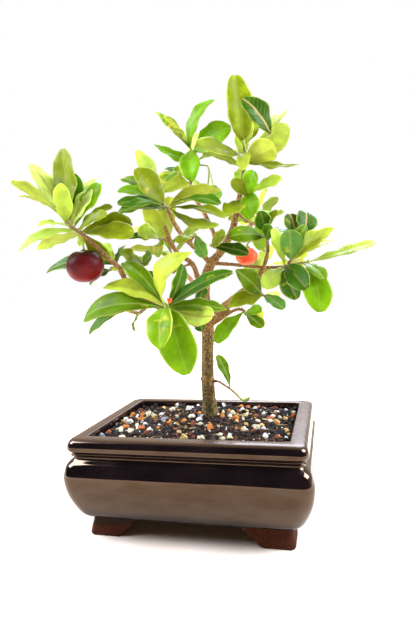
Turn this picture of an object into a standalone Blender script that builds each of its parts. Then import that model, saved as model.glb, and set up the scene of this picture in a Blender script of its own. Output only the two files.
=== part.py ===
"""Barbados cherry bonsai in its glazed rectangular pot.

The frame has its origin on the surface that the feet stand on, under the middle of the pot.
X runs along the pot's long side to the right, Y to the back and Z up. Tables give millimetres.
"""

import math
import random

import bmesh
import bpy
from mathutils import Matrix, Vector

MM = 0.001
GAP = 0.3  # between pieces that touch

# Pot: a six-inch rectangular bonsai pot, one fired piece with its feet
POT_LENGTH = 150.0
POT_WIDTH = 121.0
POT_HEIGHT = 62.0
FOOT_HEIGHT = 12.0
FLOOR_TOP = 18.5
# Outside of the pot from its foot to the rim: inset from the belly, height, corner radius
OUTER_PROFILE = [
    (12.6, FOOT_HEIGHT, 8.0), (7.6, 14.5, 8.5), (3.7, 21.5, 9.0), (0.9, 30.0, 8.5), (0.0, 39.2, 8.0),
    (0.5, 43.0, 7.5), (2.0, 46.5, 7.0), (5.2, 49.8, 5.5), (5.4, 51.2, 5.0), (4.4, 51.9, 5.5),
    (5.0, 52.6, 5.0), (4.6, 53.4, 5.5), (3.3, 54.6, 6.0), (2.7, 56.2, 6.0), (2.9, 58.2, 6.0),
    (3.8, 60.3, 5.5), (5.3, 61.6, 5.0), (7.0, POT_HEIGHT, 4.0),
]
# Inside of the pot from the mouth to the floor
INNER_PROFILE = [
    (12.4, POT_HEIGHT, 3.0), (13.3, 61.2, 3.0), (13.3, 55.0, 3.0), (9.5, 46.0, 5.0),
    (8.0, 39.0, 6.0), (9.0, 30.0, 6.5), (13.0, 21.5, 6.5), (16.5, FLOOR_TOP, 6.5),
]
FOOT_CORNER = (60.5, 45.5)  # outer corner of a foot where it meets the pot
FOOT_FLARE = 2.8  # how far that corner leans out at the ground
FOOT_TOP_LENGTH = 36.0
FOOT_GROUND_LENGTH = 21.0
FOOT_THICKNESS = 9.0
FOOT_SINK = 3.0  # how far a foot runs up into the pot
DRAIN_RADIUS = 7.0
DRAIN_X = 30.0
SCREEN_SIZE = 20.0
SCREEN_CELLS = 3
SCREEN_THICKNESS = 1.2

# Soil: its height at the pot's wall and at the trunk, and the gravel on it
SOIL_AT_WALL = 56.6
SOIL_AT_TRUNK = 60.0
MOUND_REACH = 45.0
SOIL_BODY_TOP = 55.0
RUBBLE_PITCH = 5.2
RUBBLE_RELIEF = 1.5
RUBBLE_SHIFT = 0.9
RUBBLE_RIM_RELIEF = 0.3
RUBBLE_CORNER = 1.6  # keeps the rubble's corners out of the mouth's round ones
RUBBLE_BOTTOM = 52.0
STONE_COUNT = 22
STONE_SIZES = (2.8, 5.0)
STONE_MARGIN = 3.0
STONE_SPACING = 0.62  # of the sum of two stones' sizes
STONE_LIFT = 1.5
HOLE_RADIUS = 6.4
HOLE_BOTTOM = 36.0
HOLE_DEPTH = 30.0
RECESS_MARGIN = 1.2
RECESS_HEADROOM = 0.7

# Trunk and limbs: each route lists points of its middle line and the wood's radius there
TRUNK_X, TRUNK_Y = 2.0, 15.0
TRUNK_SPACING = 12.0
LIMB_SPACING = 11.0
TWIG_RADIUS = 1.7  # limbs no thicker than this have fewer sides
WOOD_ROUTES = {
    "trunk": [
        (2, 15, 36.4, 5.0), (2, 15, 56, 5.6), (2, 15, 61.5, 5.6), (1.5, 14.5, 68, 4.9), (1, 14, 85, 4.5),
        (2, 13, 106, 4.3), (3, 12, 125, 4.3), (1.5, 11, 141, 4.2), (2, 11, 151, 4.0), (5, 11, 161, 3.5),
        (8.5, 10, 167, 3.0),
    ],
    "leader": [
        (4, 11, 160, 2.8), (8.5, 10, 167, 2.9), (15.5, 10, 174.5, 2.6), (23, 11, 187.5, 2.3),
        (26.5, 12, 201, 2.0), (29, 13, 211, 1.8), (31.5, 14, 224, 1.5),
    ],
    "upper_left_limb": [
        (8, 10, 165, 1.9), (2, 4, 173.5, 1.7), (-3, -4, 179.5, 1.6), (-7, -12, 186, 1.5),
        (-9, -19, 192.5, 1.4), (-10, -22.5, 196.8, 1.3),
    ],
    "middle_left_limb": [
        (2, 11, 150, 2.0), (-1.5, 8, 156.5, 1.8), (-4, 4, 166, 1.7), (-12, -3, 173.5, 1.5),
        (-14, -11, 181, 1.4), (-14.5, -19, 189.5, 1.2),
    ],
    "middle_left_spur": [(-14, -11, 181, 1.2), (-17.5, -14.5, 181.5, 1.1)],
    "long_left_limb": [
        (3, 12, 120, 2.2), (-6, 0, 127, 2.0), (-12, -8, 130.5, 1.9), (-18, -16, 136, 1.8),
        (-25, -24, 141.5, 1.7), (-31.5, -30, 146, 1.7), (-35.5, -34, 153, 1.6), (-39, -37, 163.5, 1.5),
        (-44, -40, 169, 1.5), (-49, -42, 174.5, 1.4), (-54.5, -44, 181, 1.4), (-57.3, -45, 183.8, 1.3),
    ],
    "front_twig": [(-17, -15, 135, 1.6), (-14, -30, 136.5, 1.4), (-8, -46, 137.5, 1.3)],
    "left_low_twig": [(-36, -34, 155, 1.3), (-40, -31, 159, 1.1), (-43, -28, 162, 1.0)],
    "limb_under_spur": [(-25, -24, 141.5, 1.2), (-29, -27, 137, 1.1)],
    "limb_top_spur": [(-33, -31, 149, 1.2), (-31, -28, 156, 1.1)],
    "right_twig": [
        (9, 10, 166, 1.4), (22.5, 8, 164.5, 1.2), (42, 2, 161.5, 1.1), (55.5, -4, 160.5, 1.1),
    ],
    "right_limb": [
        (4, 12.5, 124, 2.1), (11, 10, 130, 1.9), (24.5, 4, 140.5, 1.7), (38, -4, 151.5, 1.5),
        (45, -4, 160.5, 1.4), (47.5, 2, 171, 1.2),
    ],
    "right_low_spur": [(36, -3, 150, 1.2), (42, -8, 146, 1.1)],
    "right_under_twig": [(4, 12, 123, 1.6), (13, 10, 128, 1.3), (21.5, 6, 133, 1.2), (27.5, 2.6, 134.6, 1.1)],
    "top_left_limb": [
        (14, 10, 173, 1.7), (10, 12, 186, 1.5), (4, 14, 199.5, 1.4), (-3, 14, 212, 1.3), (-5.5, 14, 221, 1.2),
    ],
    "leader_spur": [(26, 12, 199.5, 1.3), (31.5, 10.5, 204.5, 1.1)],
    "middle_spur": [(-3, -4, 179.5, 1.1), (0, -8, 182, 1.0)],
    "fork_spur": [(15.5, 10, 174.5, 1.1), (12, 4, 176.5, 1.0)],
    "trunk_spur": [(2, 11, 145, 1.2), (5, 4, 148, 1.0)],
    "trunk_low_spur": [(3, 12, 128, 1.2), (1.3, 4, 131, 1.0)],
    "knob": [(2, 14, 84, 2.2), (-3.2, 12.5, 86.5, 1.5)],
    "low_stub": [(2, 14, 84.5, 1.7), (8.6, 12, 84.6, 1.1)],
    "back_left_limb": [(2, 12, 140, 2.0), (-8, 24, 152, 1.7), (-20, 36, 163, 1.4), (-27, 42, 170, 1.2)],
    "back_right_limb": [(19, 11, 181, 1.8), (27, 24, 188, 1.5), (34, 36, 194, 1.2)],
    "back_top_limb": [(29, 13, 211, 1.4), (31, 23, 221, 1.2), (29, 32, 230, 1.1)],
    "back_low_limb": [(3, 12, 129, 1.8), (12, 26, 137, 1.5), (21, 37, 145, 1.2)],
    "dead_twig_left": [(-4, 4, 166, 0.9), (-10, -2, 164, 0.8), (-15, -6, 160, 0.7)],
    "dead_twig_right": [(26.5, 12, 200, 0.9), (33, 8, 193, 0.8), (38, 6, 190, 0.7)],
}

# Leafy stems. Each has one or two green stems, given as points and radius, and its leaves.
# A leaf's row: stem number, place along that stem from 0 to 1, where the tip reaches, the
# blade's width, its turn and its arch. At a turn of 0 the upper face looks to the front, and
# the turn is right-handed about the line to the tip. The arch is a share of the length. A word
# names the blade's form where it isn't obovate.
LEAFY_STEMS = {
    "left_tip": {
        "stems": [
            [(-57.6, -45.1, 184.1, 1.3), (-62, -46, 187.5, 1.2), (-67, -46.5, 191, 1.1),
             (-71, -46.5, 197, 0.9)],
        ],
        "leaves": [
            (0, 0.75, (-69, -45, 238), 21, -20, -0.04, "oval"),
            (0, 0.70, (-70, -30, 226), 15, 30, 0.05, "oval"),
            (0, 0.72, (-61, -62, 213), 12, 10, 0.06, "oval"),
            (0, 0.97, (-94.5, -40, 231.5), 12.5, 55, 0.08, "oval"),
            (0, 1.00, (-111.5, -38, 221.4), 14, 125, 0.06, "oval"),
            (0, 0.82, (-93, -58, 209), 11, 105, 0.10, "pointed"), (0, 0.50, (-79, -61, 190), 8, 70, 0.10),
            (0, 0.25, (-93, -62, 175), 13, 50, 0.12, "pointed"),
            (0, 0.10, (-84.5, -54, 176.5), 11, 110, 0.05, "oval"),
            (0, 0.50, (-55, -38, 214), 13, -20, 0.03, "oval"), (0, 0.40, (-50, -36, 217), 13, -15, 0.03),
            (0, 0.60, (-58, -24, 224), 10, -20, 0.05), (0, 0.25, (-42, -36, 202), 11, -35, 0.08),
            (0, 0.20, (-39, -52, 195), 10, -40, 0.08), (0, 0.15, (-32, -30, 192), 18, -35, 0.06),
            (0, 0.08, (-25, -45, 182), 16, -45, 0.08), (0, 0.28, (-64, -34, 180), 7, -60, 0.10),
            (0, 0.14, (-50, -29, 169.5), 11, 0, -0.04),
        ],
    },
    "left_low": {
        "stems": [
            [(-43.5, -27.4, 162.6, 1.0), (-47, -24, 167, 0.8)],
        ],
        "leaves": [
            (0, 0.90, (-45, -13, 180), 8, -30, 0.06), (0, 1.00, (-58, -18, 181.5), 8, 20, 0.06),
            (0, 0.20, (-62, -33, 154.5), 10, 50, 0.15),
            (0, 1.00, (-97, -26, 164), 11.5, 38, 0.14, "pointed"),
        ],
    },
    "limb_under": {
        "stems": [
            [(-29.3, -27.2, 136.7, 1.1), (-31, -28, 135.5, 1.0), (-35, -29, 136, 1.0),
             (-39.5, -29.5, 137.5, 0.9)],
        ],
        "leaves": [
            (0, 1.00, (-63, -36, 123.5), 11, 55, 0.08),
            (0, 0.15, (-31, -38, 124.5), 8, 60, 0.10, "pointed"),
            (0, 0.50, (-44, -10, 141), 10, 40, 0.10),
        ],
    },
    "limb_top": {
        "stems": [
            [(-30.8, -27.7, 156.4, 1.1), (-29, -26, 161, 1.0), (-28, -25, 166, 0.8)],
        ],
        "leaves": [
            (0, 1.00, (-40, -33, 174), 11, 60, 0.08), (0, 0.90, (-19, -33, 171), 10, -30, 0.08),
            (0, 0.60, (-36, -4, 172), 13, 30, 0.08), (0, 0.30, (-18, -36, 156), 9, -50, 0.08),
            (0, 0.12, (-48, -33, 164.5), 9, 60, 0.08, "pointed"),
        ],
    },
    "front": {
        "stems": [
            [(-7.7, -46.4, 137.6, 1.3), (-5, -52, 139, 1.2), (-4, -55, 141, 1.0)],
        ],
        "leaves": [
            (0, 0.90, (15, -66, 169), 22, -45, 0.30, "pointed"), (0, 0.50, (-58, -52, 135), 19, 45, 0.14),
            (0, 0.60, (-47, -44, 154), 14, 55, 0.10), (0, 0.30, (-36, -38, 168), 13, 50, 0.08),
            (0, 0.80, (-1, -78, 118.5), 16, 0, 0.15, "oval"),
            (0, 1.00, (10, -68, 103), 21.5, -15, 0.08, "oval"), (0, 0.70, (24, -60, 134), 13, -30, -0.15),
            (0, 0.40, (34, -48, 158), 14, -50, 0.08, "oval"),
            (0, 0.50, (29, -44, 136), 13, -55, 0.08, "pointed"), (0, 0.60, (3, -42, 164), 11, 60, 0.05),
        ],
    },
    "upper_left": {
        "stems": [
            [(-10.4, -23.1, 197.7, 1.3), (-13, -24, 202, 1.2), (-17, -23, 207, 1.1),
             (-19, -22, 211, 0.9)],
            [(-11, -23.3, 198.8, 1.1), (-8, -27, 201, 0.9)],
        ],
        "leaves": [
            (0, 0.70, (-31, -20, 239), 12, 50, 0.06, "oval"),
            (0, 0.30, (-27, -34, 224), 16, 40, 0.05, "oval"), (0, 0.60, (-44, -14, 224), 14, 50, 0.08),
            (0, 0.40, (-41, -30, 213), 13, 55, 0.08), (0, 0.20, (-36, -44, 201), 12, 50, 0.10),
            (0, 0.10, (-41, -34, 197), 12, 60, 0.08, "pointed"),
            (0, 0.05, (-35.5, -46, 195), 12, 55, 0.20, "pointed"),
            (1, 0.80, (26, -34, 207), 14, -120, 0.10, "pointed"),
            (1, 0.90, (27, -46, 197), 13, -60, 0.08), (1, 0.50, (27, -28, 192), 11, -60, 0.06),
            (1, 0.60, (24, -40, 185), 13, -55, -0.12), (0, 1.00, (-10, -7, 226.5), 13, -20, 0.06),
            (0, 0.80, (-4, 1, 222), 13, 0, 0.08), (0, 0.50, (-38, -2, 208), 14, 40, 0.10),
        ],
    },
    "top_left": {
        "stems": [
            [(-5.6, 14, 222.1, 1.2), (-4, 14, 226, 1.2), (0, 14, 233, 1.1), (-1, 16, 240, 1.0),
             (-6, 18, 247, 0.9)],
        ],
        "leaves": [
            (0, 1.00, (-29, 15, 274), 10, 50, 0.06, "pointed"),
            (0, 1.00, (13, 16, 278), 17, -40, 0.18, "oval"),
            (0, 0.45, (-29, 8, 250), 11, 50, -0.03, "pointed"),
            (0, 0.95, (-1.5, 2, 221), 15, 0, 0.10, "oval"),
            (0, 0.85, (25.5, 8, 255), 22, -22, 0.08, "oval"), (0, 0.40, (-25.5, 20, 235), 9, 60, -0.03),
            (0, 0.20, (-15, 6, 230), 9, 40, 0.05), (0, 0.10, (4, 5, 218), 4, 20, 0.10),
            (0, 0.90, (-12, 44, 262), 16, 150, 0.08), (0, 0.60, (9, 37, 256), 14, 150, 0.08),
        ],
    },
    "top": {
        "stems": [
            [(31.6, 14.1, 224.4, 1.4), (32, 15, 232, 1.3), (33, 15, 240, 1.1), (32, 15, 248, 0.9)],
            [(32, 15, 231, 1.1), (40, 13, 238, 1.0), (52, 10, 248.5, 0.8)],
        ],
        "leaves": [
            (0, 1.00, (28, 14, 291), 19, 30, 0.05, "full"), (1, 1.00, (35, 0, 270), 18, 35, 0.10, "oval"),
            (1, 0.30, (63.5, 8, 251.5), 17, -160, 0.06, "oval"),
            (0, 0.40, (55.5, -5, 236), 17, -150, 0.06, "oval"),
            (0, 0.60, (35.5, -8, 221.5), 9.5, 0, 0.12, "oval"),
            (0, 0.35, (69, 10, 226), 9, -52, -0.02, "pointed"), (0, 0.75, (30, 30, 264), 15, 10, 0.06),
            (1, 0.90, (58, 34, 270), 14, -30, 0.06), (0, 0.50, (7.5, -18, 238.5), 15, 38, 0.03),
            (0, 0.80, (33, 44, 275), 15, 160, 0.08), (1, 0.50, (46, 40, 243), 12, -150, 0.08),
        ],
    },
    "leader_right": {
        "stems": [
            [(31.9, 10.4, 204.8, 1.1), (35, 10, 208, 1.0), (37, 11, 213, 0.9)],
        ],
        "leaves": [
            (0, 0.10, (21, -4, 195.5), 14, 30, 0.10, "oval"), (0, 0.50, (26, 0, 219), 9, 20, 0.08),
            (0, 0.60, (40, 2, 224), 14, -30, 0.06), (0, 0.80, (58, 8, 219), 10, -35, 0.06),
            (0, 1.00, (46, 24, 216), 9, -40, 0.05), (0, 1.00, (36.5, 0, 192.5), 14, 5, 0.08, "oval"),
        ],
    },
    "right_upper": {
        "stems": [
            [(47.5, 2.4, 171.4, 1.2), (47, 6, 178, 1.1), (45, 9, 187, 0.9)],
        ],
        "leaves": [
            (0, 0.90, (44, -2, 197.5), 11, 15, 0.10, "oval"), (0, 1.00, (54, 12, 199), 7, -40, 0.05),
            (0, 0.60, (25, -12, 181.5), 14, 35, 0.10), (0, 0.50, (52, -8, 186), 10, -30, 0.10),
            (0, 0.80, (42, 30, 203), 14, 30, 0.08), (0, 0.60, (58, 28, 187), 14, -50, 0.08),
        ],
    },
    "right": {
        "stems": [
            [(55.9, -4.2, 160.5, 1.2), (60, -7, 161, 1.1), (64, -6, 166, 1.1), (68, -3, 172, 1.0),
             (69, -2, 176, 0.8)],
            [(59.5, -6.8, 161, 1.0), (67, -9, 162, 1.0), (74, -10, 162.5, 0.9)],
        ],
        "leaves": [
            (0, 0.80, (62, 4, 195), 13, 30, 0.05), (0, 1.00, (72, 10, 197), 15, 30, 0.12),
            (0, 0.90, (73, 22, 189), 13, -50, 0.06), (0, 0.40, (63.5, -22, 182), 15, 10, 0.08),
            (0, 0.50, (73, -20, 184), 10, -40, 0.06), (0, 0.45, (90, -14, 182), 17, -50, 0.06, "pointed"),
            (0, 0.70, (91, 6, 176), 11, -60, 0.06, "pointed"), (1, 0.90, (114, -2, 173), 13, -60, 0.00),
            (1, 0.95, (80.5, -34, 133), 17, -15, 0.16, "obovate"),
            (1, 0.70, (83, -32, 151.5), 10, -50, 0.08), (0, 0.25, (73, -36, 147), 14, 0, 0.10),
            (0, 0.20, (67, -35, 141.5), 13, 10, 0.10), (0, 0.10, (48, -26, 148), 12, 10, 0.08),
            (0, 0.15, (53, -16, 184), 9, 40, 0.04), (0, 0.60, (72, 34, 172), 15, -140, 0.10),
            (0, 0.30, (64, 32, 160), 14, -130, 0.10),
        ],
    },
    "right_low": {
        "stems": [
            [(42.3, -8.3, 145.8, 1.1), (45, -9.5, 143, 0.9)],
        ],
        "leaves": [
            (0, 0.90, (59, -26, 135), 9, -40, 0.08), (0, 0.50, (30, -22, 160), 14, 30, 0.08, "pointed"),
            (0, 0.80, (24, -22, 137), 13, 40, 0.08, "pointed"), (0, 1.00, (54, 4, 141), 8, -140, 0.08),
        ],
    },
    "right_under": {
        "stems": [
            [(28.6, 2.0, 134.4, 1.1), (31, 0.8, 133.2, 1.0), (32, 0, 130.5, 0.9)],
        ],
        "leaves": [
            (0, 0.80, (44, -11, 134), 8, -40, 0.08), (0, 1.00, (45, -16, 123), 9, -40, 0.08),
            (0, 0.50, (14, -14, 114), 12.5, 30, 0.08), (0, 0.90, (40, 18, 127), 10, -140, 0.10),
        ],
    },
    "middle": {
        "stems": [
            [(0.3, -8.3, 182.2, 1.0), (3, -10, 184.5, 0.9)],
        ],
        "leaves": [
            (0, 1.00, (11, -18, 169), 10, 20, 0.08), (0, 0.50, (-5, -24, 178), 10, 40, 0.08),
        ],
    },
    "middle_left": {
        "stems": [
            [(-17.8, -14.8, 181.6, 1.1), (-20, -17, 182, 0.9)],
        ],
        "leaves": [
            (0, 0.90, (-30.5, -27, 185.5), 13, 45, 0.20),
            (0, 0.60, (-35.5, -32, 181.5), 11, 55, 0.10, "pointed"),
            (0, 0.20, (-17, -26, 169.5), 9, 20, 0.10, "oval"),
        ],
    },
    "fork": {
        "stems": [
            [(11.8, 3.7, 176.6, 1.0), (10, 0, 177.5, 0.9)],
        ],
        "leaves": [
            (0, 0.70, (24, -16, 182), 12, -30, 0.08), (0, 0.90, (38, -17, 169.5), 9.5, -25, 0.04),
        ],
    },
    "trunk_middle": {
        "stems": [
            [(5.2, 3.6, 148.2, 1.0), (7, 0, 151, 0.9)],
        ],
        "leaves": [
            (0, 1.00, (11, -9, 153), 8, -40, 0.08), (0, 0.80, (3, -10, 141), 8, 20, 0.08),
        ],
    },
    "trunk_low": {
        "stems": [
            [(1.2, 3.6, 131.2, 1.0), (1, 0, 133, 0.9)],
        ],
        "leaves": [
            (0, 1.00, (-3, -20, 133), 9, 30, 0.08), (0, 0.60, (6, -14, 122), 9, 10, 0.08),
        ],
    },
    "low_twig": {
        "stems": [
            [(9.5, 11.7, 84.4, 1.0), (16.5, 8, 81, 0.9), (21.7, 5, 78, 0.9), (27, 2, 74, 0.9),
             (30, 1, 74.5, 1.3), (32.5, 0, 76, 0.9)],
        ],
        "leaves": [
            (0, 0.35, (10, 6, 104), 8, 40, 0.14),
        ],
    },
}

# Leafy stems on the far side of the crown: the green stem, then how many leaves the rule
# places on it, how long they are and the seed of their small differences
BACK_STEMS = {
    "back_left": ([(-27.4, 42.4, 170.4, 1.2), (-32, 47, 177, 1.1), (-36, 51, 188, 0.9)], 8, 36, 3),
    "back_right": ([(34.3, 36.6, 194.2, 1.2), (36, 44, 196, 1.1), (36, 53, 202, 0.9)], 7, 30, 4),
    "back_top": ([(28.8, 32.6, 230.6, 1.1), (28, 38, 235, 1.0), (30, 45, 241, 0.8)], 6, 28, 17),
    "back_low": ([(21.3, 37.6, 145.3, 1.2), (27, 44, 150, 1.1), (32, 52, 159, 0.9)], 7, 34, 13),
}
GOLDEN_ANGLE = math.radians(137.5)

# Leaf blade
BLADE_THICKNESS = 0.7
BLADE_STATIONS = (0.0, 0.28, 0.58, 0.86, 1.0)
SMALL_BLADE_STATIONS = (0.0, 0.36, 0.80, 1.0)
SMALL_BLADE = 28.0
BLADE_FOLD = 0.16
BLADE_WAVE = 0.5
WAVE_TURN = 9.0  # radians of the edge's wave from foot to tip
# Form of a blade: where it is widest as a share of its length, and how it tapers to foot and tip
BLADE_FORMS = {
    "obovate": (0.68, 1.3, 0.6),
    "oval": (0.59, 1.0, 0.7),
    "pointed": (0.5, 1.0, 1.0),
    "full": (0.5, 0.5, 0.5),
}
BACK_BLADE_SHAPE = 0.42  # width of a blade on the far side, as a share of its length
STEM_SPACING = 4.0

# Fruits: middle, half width and half height
RIPE_CHERRY = ((-58, -45, 165.8), 11.2, 10.6)
ORANGE_CHERRY = ((34.4, -4.5, 168.8), 7.0, 6.0)
GREEN_CHERRIES = {
    "green_cherry_left": ((6.5, 9, 211), 5.0, 4.6),
    "green_cherry_right": ((14, -2, 210.5), 5.4, 5.0),
}
FRUIT_LOBES = 0.035
FRUIT_DIMPLE = 0.22
DIMPLE_REACH = 0.4
FURROW = 2.0  # how much farther the dimple runs to the front and the back
STALKS = {
    "ripe_cherry_stalk": [[(-57.2, -46.9, 181.2, 0.7), (-57.8, -46.4, 178, 0.6), (-58, -45, 174.9, 0.7)]],
    "orange_cherry_stalk": [
        [(45.6, 0.8, 171.2, 0.6), (42, -1, 177, 0.5), (37, -3.8, 178, 0.5), (34.4, -4.5, 174.4, 0.6)],
    ],
    "green_cherry_stalks": [
        [(1.9, 13.0, 233.4, 0.6), (7, 10, 232, 0.5), (9.5, 7, 229, 0.5), (8.5, 8.5, 221, 0.5),
         (6.5, 9, 215.2, 0.7)],
        [(9.2, 7.2, 229, 0.5), (12, 2, 222, 0.5), (14, -2, 215.2, 0.7)],
    ],
}

# Name: base colour, roughness
MATERIALS = {
    "glazed_clay": ((0.022, 0.014, 0.011), 0.08),
    "soil": ((0.045, 0.032, 0.022), 0.95),
    "plastic_screen": ((0.02, 0.02, 0.02), 0.5),
    "bark": ((0.17, 0.11, 0.06), 0.85),
    "leaf": ((0.13, 0.32, 0.035), 0.4),
    "ripe_fruit": ((0.25, 0.008, 0.012), 0.2),
    "orange_fruit": ((0.75, 0.16, 0.03), 0.25),
    "green_fruit": ((0.2, 0.4, 0.05), 0.35),
    "stalk": ((0.3, 0.38, 0.1), 0.5),
}


def clear_scene():
    for thing in list(bpy.data.objects):
        bpy.data.objects.remove(thing)


def new_collection(name):
    collection = bpy.data.collections.new(name)
    bpy.context.scene.collection.children.link(collection)
    return collection


clear_scene()
BONSAI = new_collection("barbados_cherry_bonsai")
CUTTERS = new_collection("cutters")
REPEATS = new_collection("repeats")


def material(name):
    found = bpy.data.materials.get(name)
    if found:
        return found
    colour, roughness = MATERIALS[name]
    made = bpy.data.materials.new(name)
    made.use_nodes = True
    shader = made.node_tree.nodes["Principled BSDF"]
    shader.inputs["Base Color"].default_value = (*colour, 1.0)
    shader.inputs["Roughness"].default_value = roughness
    return made


def add_object(name, mesh, collection, material_name=None):
    made = bpy.data.objects.new(name, mesh)
    collection.objects.link(made)
    if material_name:
        mesh.materials.clear()
        mesh.materials.append(material(material_name))
    return made


def mesh_from(name, shape):
    """Ends a bmesh: its normals point out, and it becomes a mesh."""
    bmesh.ops.recalc_face_normals(shape, faces=shape.faces)
    mesh = bpy.data.meshes.new(name)
    shape.to_mesh(mesh)
    shape.free()
    return mesh


def evaluated_mesh(thing):
    graph = bpy.context.evaluated_depsgraph_get()
    return bpy.data.meshes.new_from_object(thing.evaluated_get(graph))


def keep_one_body(mesh):
    """Fills hollows that a union sealed and drops loose scraps: only the largest body stays."""
    shape = bmesh.new()
    shape.from_mesh(mesh)
    unseen = set(shape.faces)
    bodies = []
    while unseen:
        body = {unseen.pop()}
        edge_of_body = list(body)
        while edge_of_body:
            face = edge_of_body.pop()
            for edge in face.edges:
                for other in edge.link_faces:
                    if other in unseen:
                        unseen.discard(other)
                        body.add(other)
                        edge_of_body.append(other)
        bodies.append(body)
    bodies.sort(key=lambda body: sum(face.calc_area() for face in body))
    for body in bodies[:-1]:
        bmesh.ops.delete(shape, geom=list(body), context="FACES")
    shape.to_mesh(mesh)
    shape.free()


def is_closed(mesh):
    shape = bmesh.new()
    shape.from_mesh(mesh)
    closed = all(edge.is_manifold for edge in shape.edges)
    shape.free()
    return closed


def apply_boolean(base, operation, collection):
    """One Boolean of base with all that the collection holds, applied, and its objects removed."""
    boolean = base.modifiers.new(operation.lower(), "BOOLEAN")
    boolean.operation = operation
    boolean.operand_type = "COLLECTION"
    boolean.collection = collection
    boolean.solver = "EXACT"
    mesh = evaluated_mesh(base)
    if not is_closed(mesh):
        boolean.solver = "MANIFOLD"
        mesh = evaluated_mesh(base)
    slots = list(base.data.materials)
    base.modifiers.clear()
    base.data = mesh
    for used in slots:
        if used.name not in mesh.materials:
            mesh.materials.append(used)
    for thing in list(collection.objects):
        bpy.data.objects.remove(thing)
    keep_one_body(mesh)
    return base


def smooth_route(points, spacing):
    """Points at an even spacing on a smooth curve through the given ones; radii follow along."""
    values = [Vector(p[:3]).to_4d() for p in points]
    for value, point in zip(values, points):
        value.w = point[3]
    ends = [2 * values[0] - values[1], *values, 2 * values[-1] - values[-2]]
    route = []
    for i in range(1, len(ends) - 2):
        before, start, stop, after = ends[i - 1:i + 3]
        steps = max(1, round((stop - start).to_3d().length / spacing))
        for step in range(steps):
            t = step / steps
            route.append(0.5 * (
                2 * start + (stop - before) * t + (2 * before - 5 * start + 4 * stop - after) * t * t
                + (3 * start - before - 3 * stop + after) * t ** 3
            ))
    return [*route, values[-1]]


def tube(name, points, spacing, bevel_resolution, collection):
    """A stem or limb: a curve with its own radius at each point and filled ends, made a mesh."""
    route = smooth_route(points, spacing)
    curve = bpy.data.curves.new(name, "CURVE")
    curve.dimensions = "3D"
    curve.bevel_depth = MM
    curve.bevel_resolution = bevel_resolution
    curve.use_fill_caps = True
    spline = curve.splines.new("POLY")
    spline.points.add(len(route) - 1)
    for point, place in zip(spline.points, route):
        point.co = (*(place.to_3d() * MM), 1.0)
        point.radius = place.w
    drawn = add_object(name + "_line", curve, collection)
    mesh = evaluated_mesh(drawn)
    bpy.data.objects.remove(drawn)
    shape = bmesh.new()
    shape.from_mesh(mesh)
    bmesh.ops.remove_doubles(shape, verts=shape.verts, dist=0.01 * MM)
    return add_object(name, mesh_from(name, shape), collection)


def rounded_ring(half_x, half_y, radius, corner_steps):
    """Corners of a rounded rectangle, counterclockwise from the right front."""
    ring = []
    for quarter, (sx, sy) in enumerate([(1, -1), (1, 1), (-1, 1), (-1, -1)]):
        for step in range(corner_steps + 1):
            angle = math.radians(-90 + 90 * quarter + 90 * step / corner_steps)
            x = sx * (half_x - radius) + radius * math.cos(angle)
            y = sy * (half_y - radius) + radius * math.sin(angle)
            ring.append((x, y))
    return ring


def loft(name, rings, collection):
    """A closed body through rings of equal count, each a list of points in millimetres."""
    shape = bmesh.new()
    rows = []
    for ring in rings:
        row = [shape.verts.new(Vector(point) * MM) for point in ring]
        for i, vert in enumerate(row):
            shape.edges.new((vert, row[(i + 1) % len(row)]))
        rows.append(row)
    for low, high in zip(rows, rows[1:]):
        for i in range(len(low)):
            j = (i + 1) % len(low)
            shape.faces.new((low[i], low[j], high[j], high[i]))
    shape.faces.new(rows[0])
    shape.faces.new(rows[-1])
    return add_object(name, mesh_from(name, shape), collection)


def pot_ring(inset, height, radius, corner_steps=4):
    ring = rounded_ring(POT_LENGTH / 2 - inset, POT_WIDTH / 2 - inset, radius, corner_steps)
    return [(x, y, height) for x, y in ring]


def foot_arm(name, long_axis, collection):
    """One arm of a corner foot, its free end sloping in towards the ground."""
    top = FOOT_HEIGHT + FOOT_SINK
    corner = Vector(FOOT_CORNER)
    rings = []
    for height, length, flare in ((0, FOOT_GROUND_LENGTH, FOOT_FLARE), (top, FOOT_TOP_LENGTH, 0)):
        out = corner + Vector((flare, flare))
        if long_axis == "x":
            low = Vector((out.x - length, out.y - FOOT_THICKNESS))
        else:
            low = Vector((out.x - FOOT_THICKNESS, out.y - length))
        rings.append([
            (low.x, low.y, height), (out.x, low.y, height), (out.x, out.y, height), (low.x, out.y, height),
        ])
    return loft(name, rings, collection)


def mirrored(thing, sign_x, sign_y):
    """Turns a front right shape into the one at another corner."""
    mesh = thing.data
    mesh.transform(Matrix.Diagonal((sign_x, sign_y, 1, 1)))
    if sign_x * sign_y < 0:
        mesh.flip_normals()


def make_pot():
    body = loft(
        "pot",
        [pot_ring(*row) for row in OUTER_PROFILE] + [pot_ring(*row) for row in INNER_PROFILE],
        BONSAI,
    )
    for sign_x in (1, -1):
        for sign_y in (1, -1):
            for long_axis in ("x", "y"):
                mirrored(foot_arm("foot_arm", long_axis, REPEATS), sign_x, sign_y)
    apply_boolean(body, "UNION", REPEATS)
    for side in (-1, 1):
        shape = bmesh.new()
        bmesh.ops.create_cone(
            shape, cap_ends=True, segments=16, radius1=DRAIN_RADIUS * MM, radius2=DRAIN_RADIUS * MM,
            depth=20 * MM, matrix=Matrix.Translation(Vector((side * DRAIN_X, 0, 15)) * MM),
        )
        cutter = add_object("drain_cutter", mesh_from("drain_cutter", shape), CUTTERS)
        cutter.hide_render = True
        cutter.display_type = "WIRE"
    apply_boolean(body, "DIFFERENCE", CUTTERS)
    body.data.materials.clear()
    body.data.materials.append(material("glazed_clay"))


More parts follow.
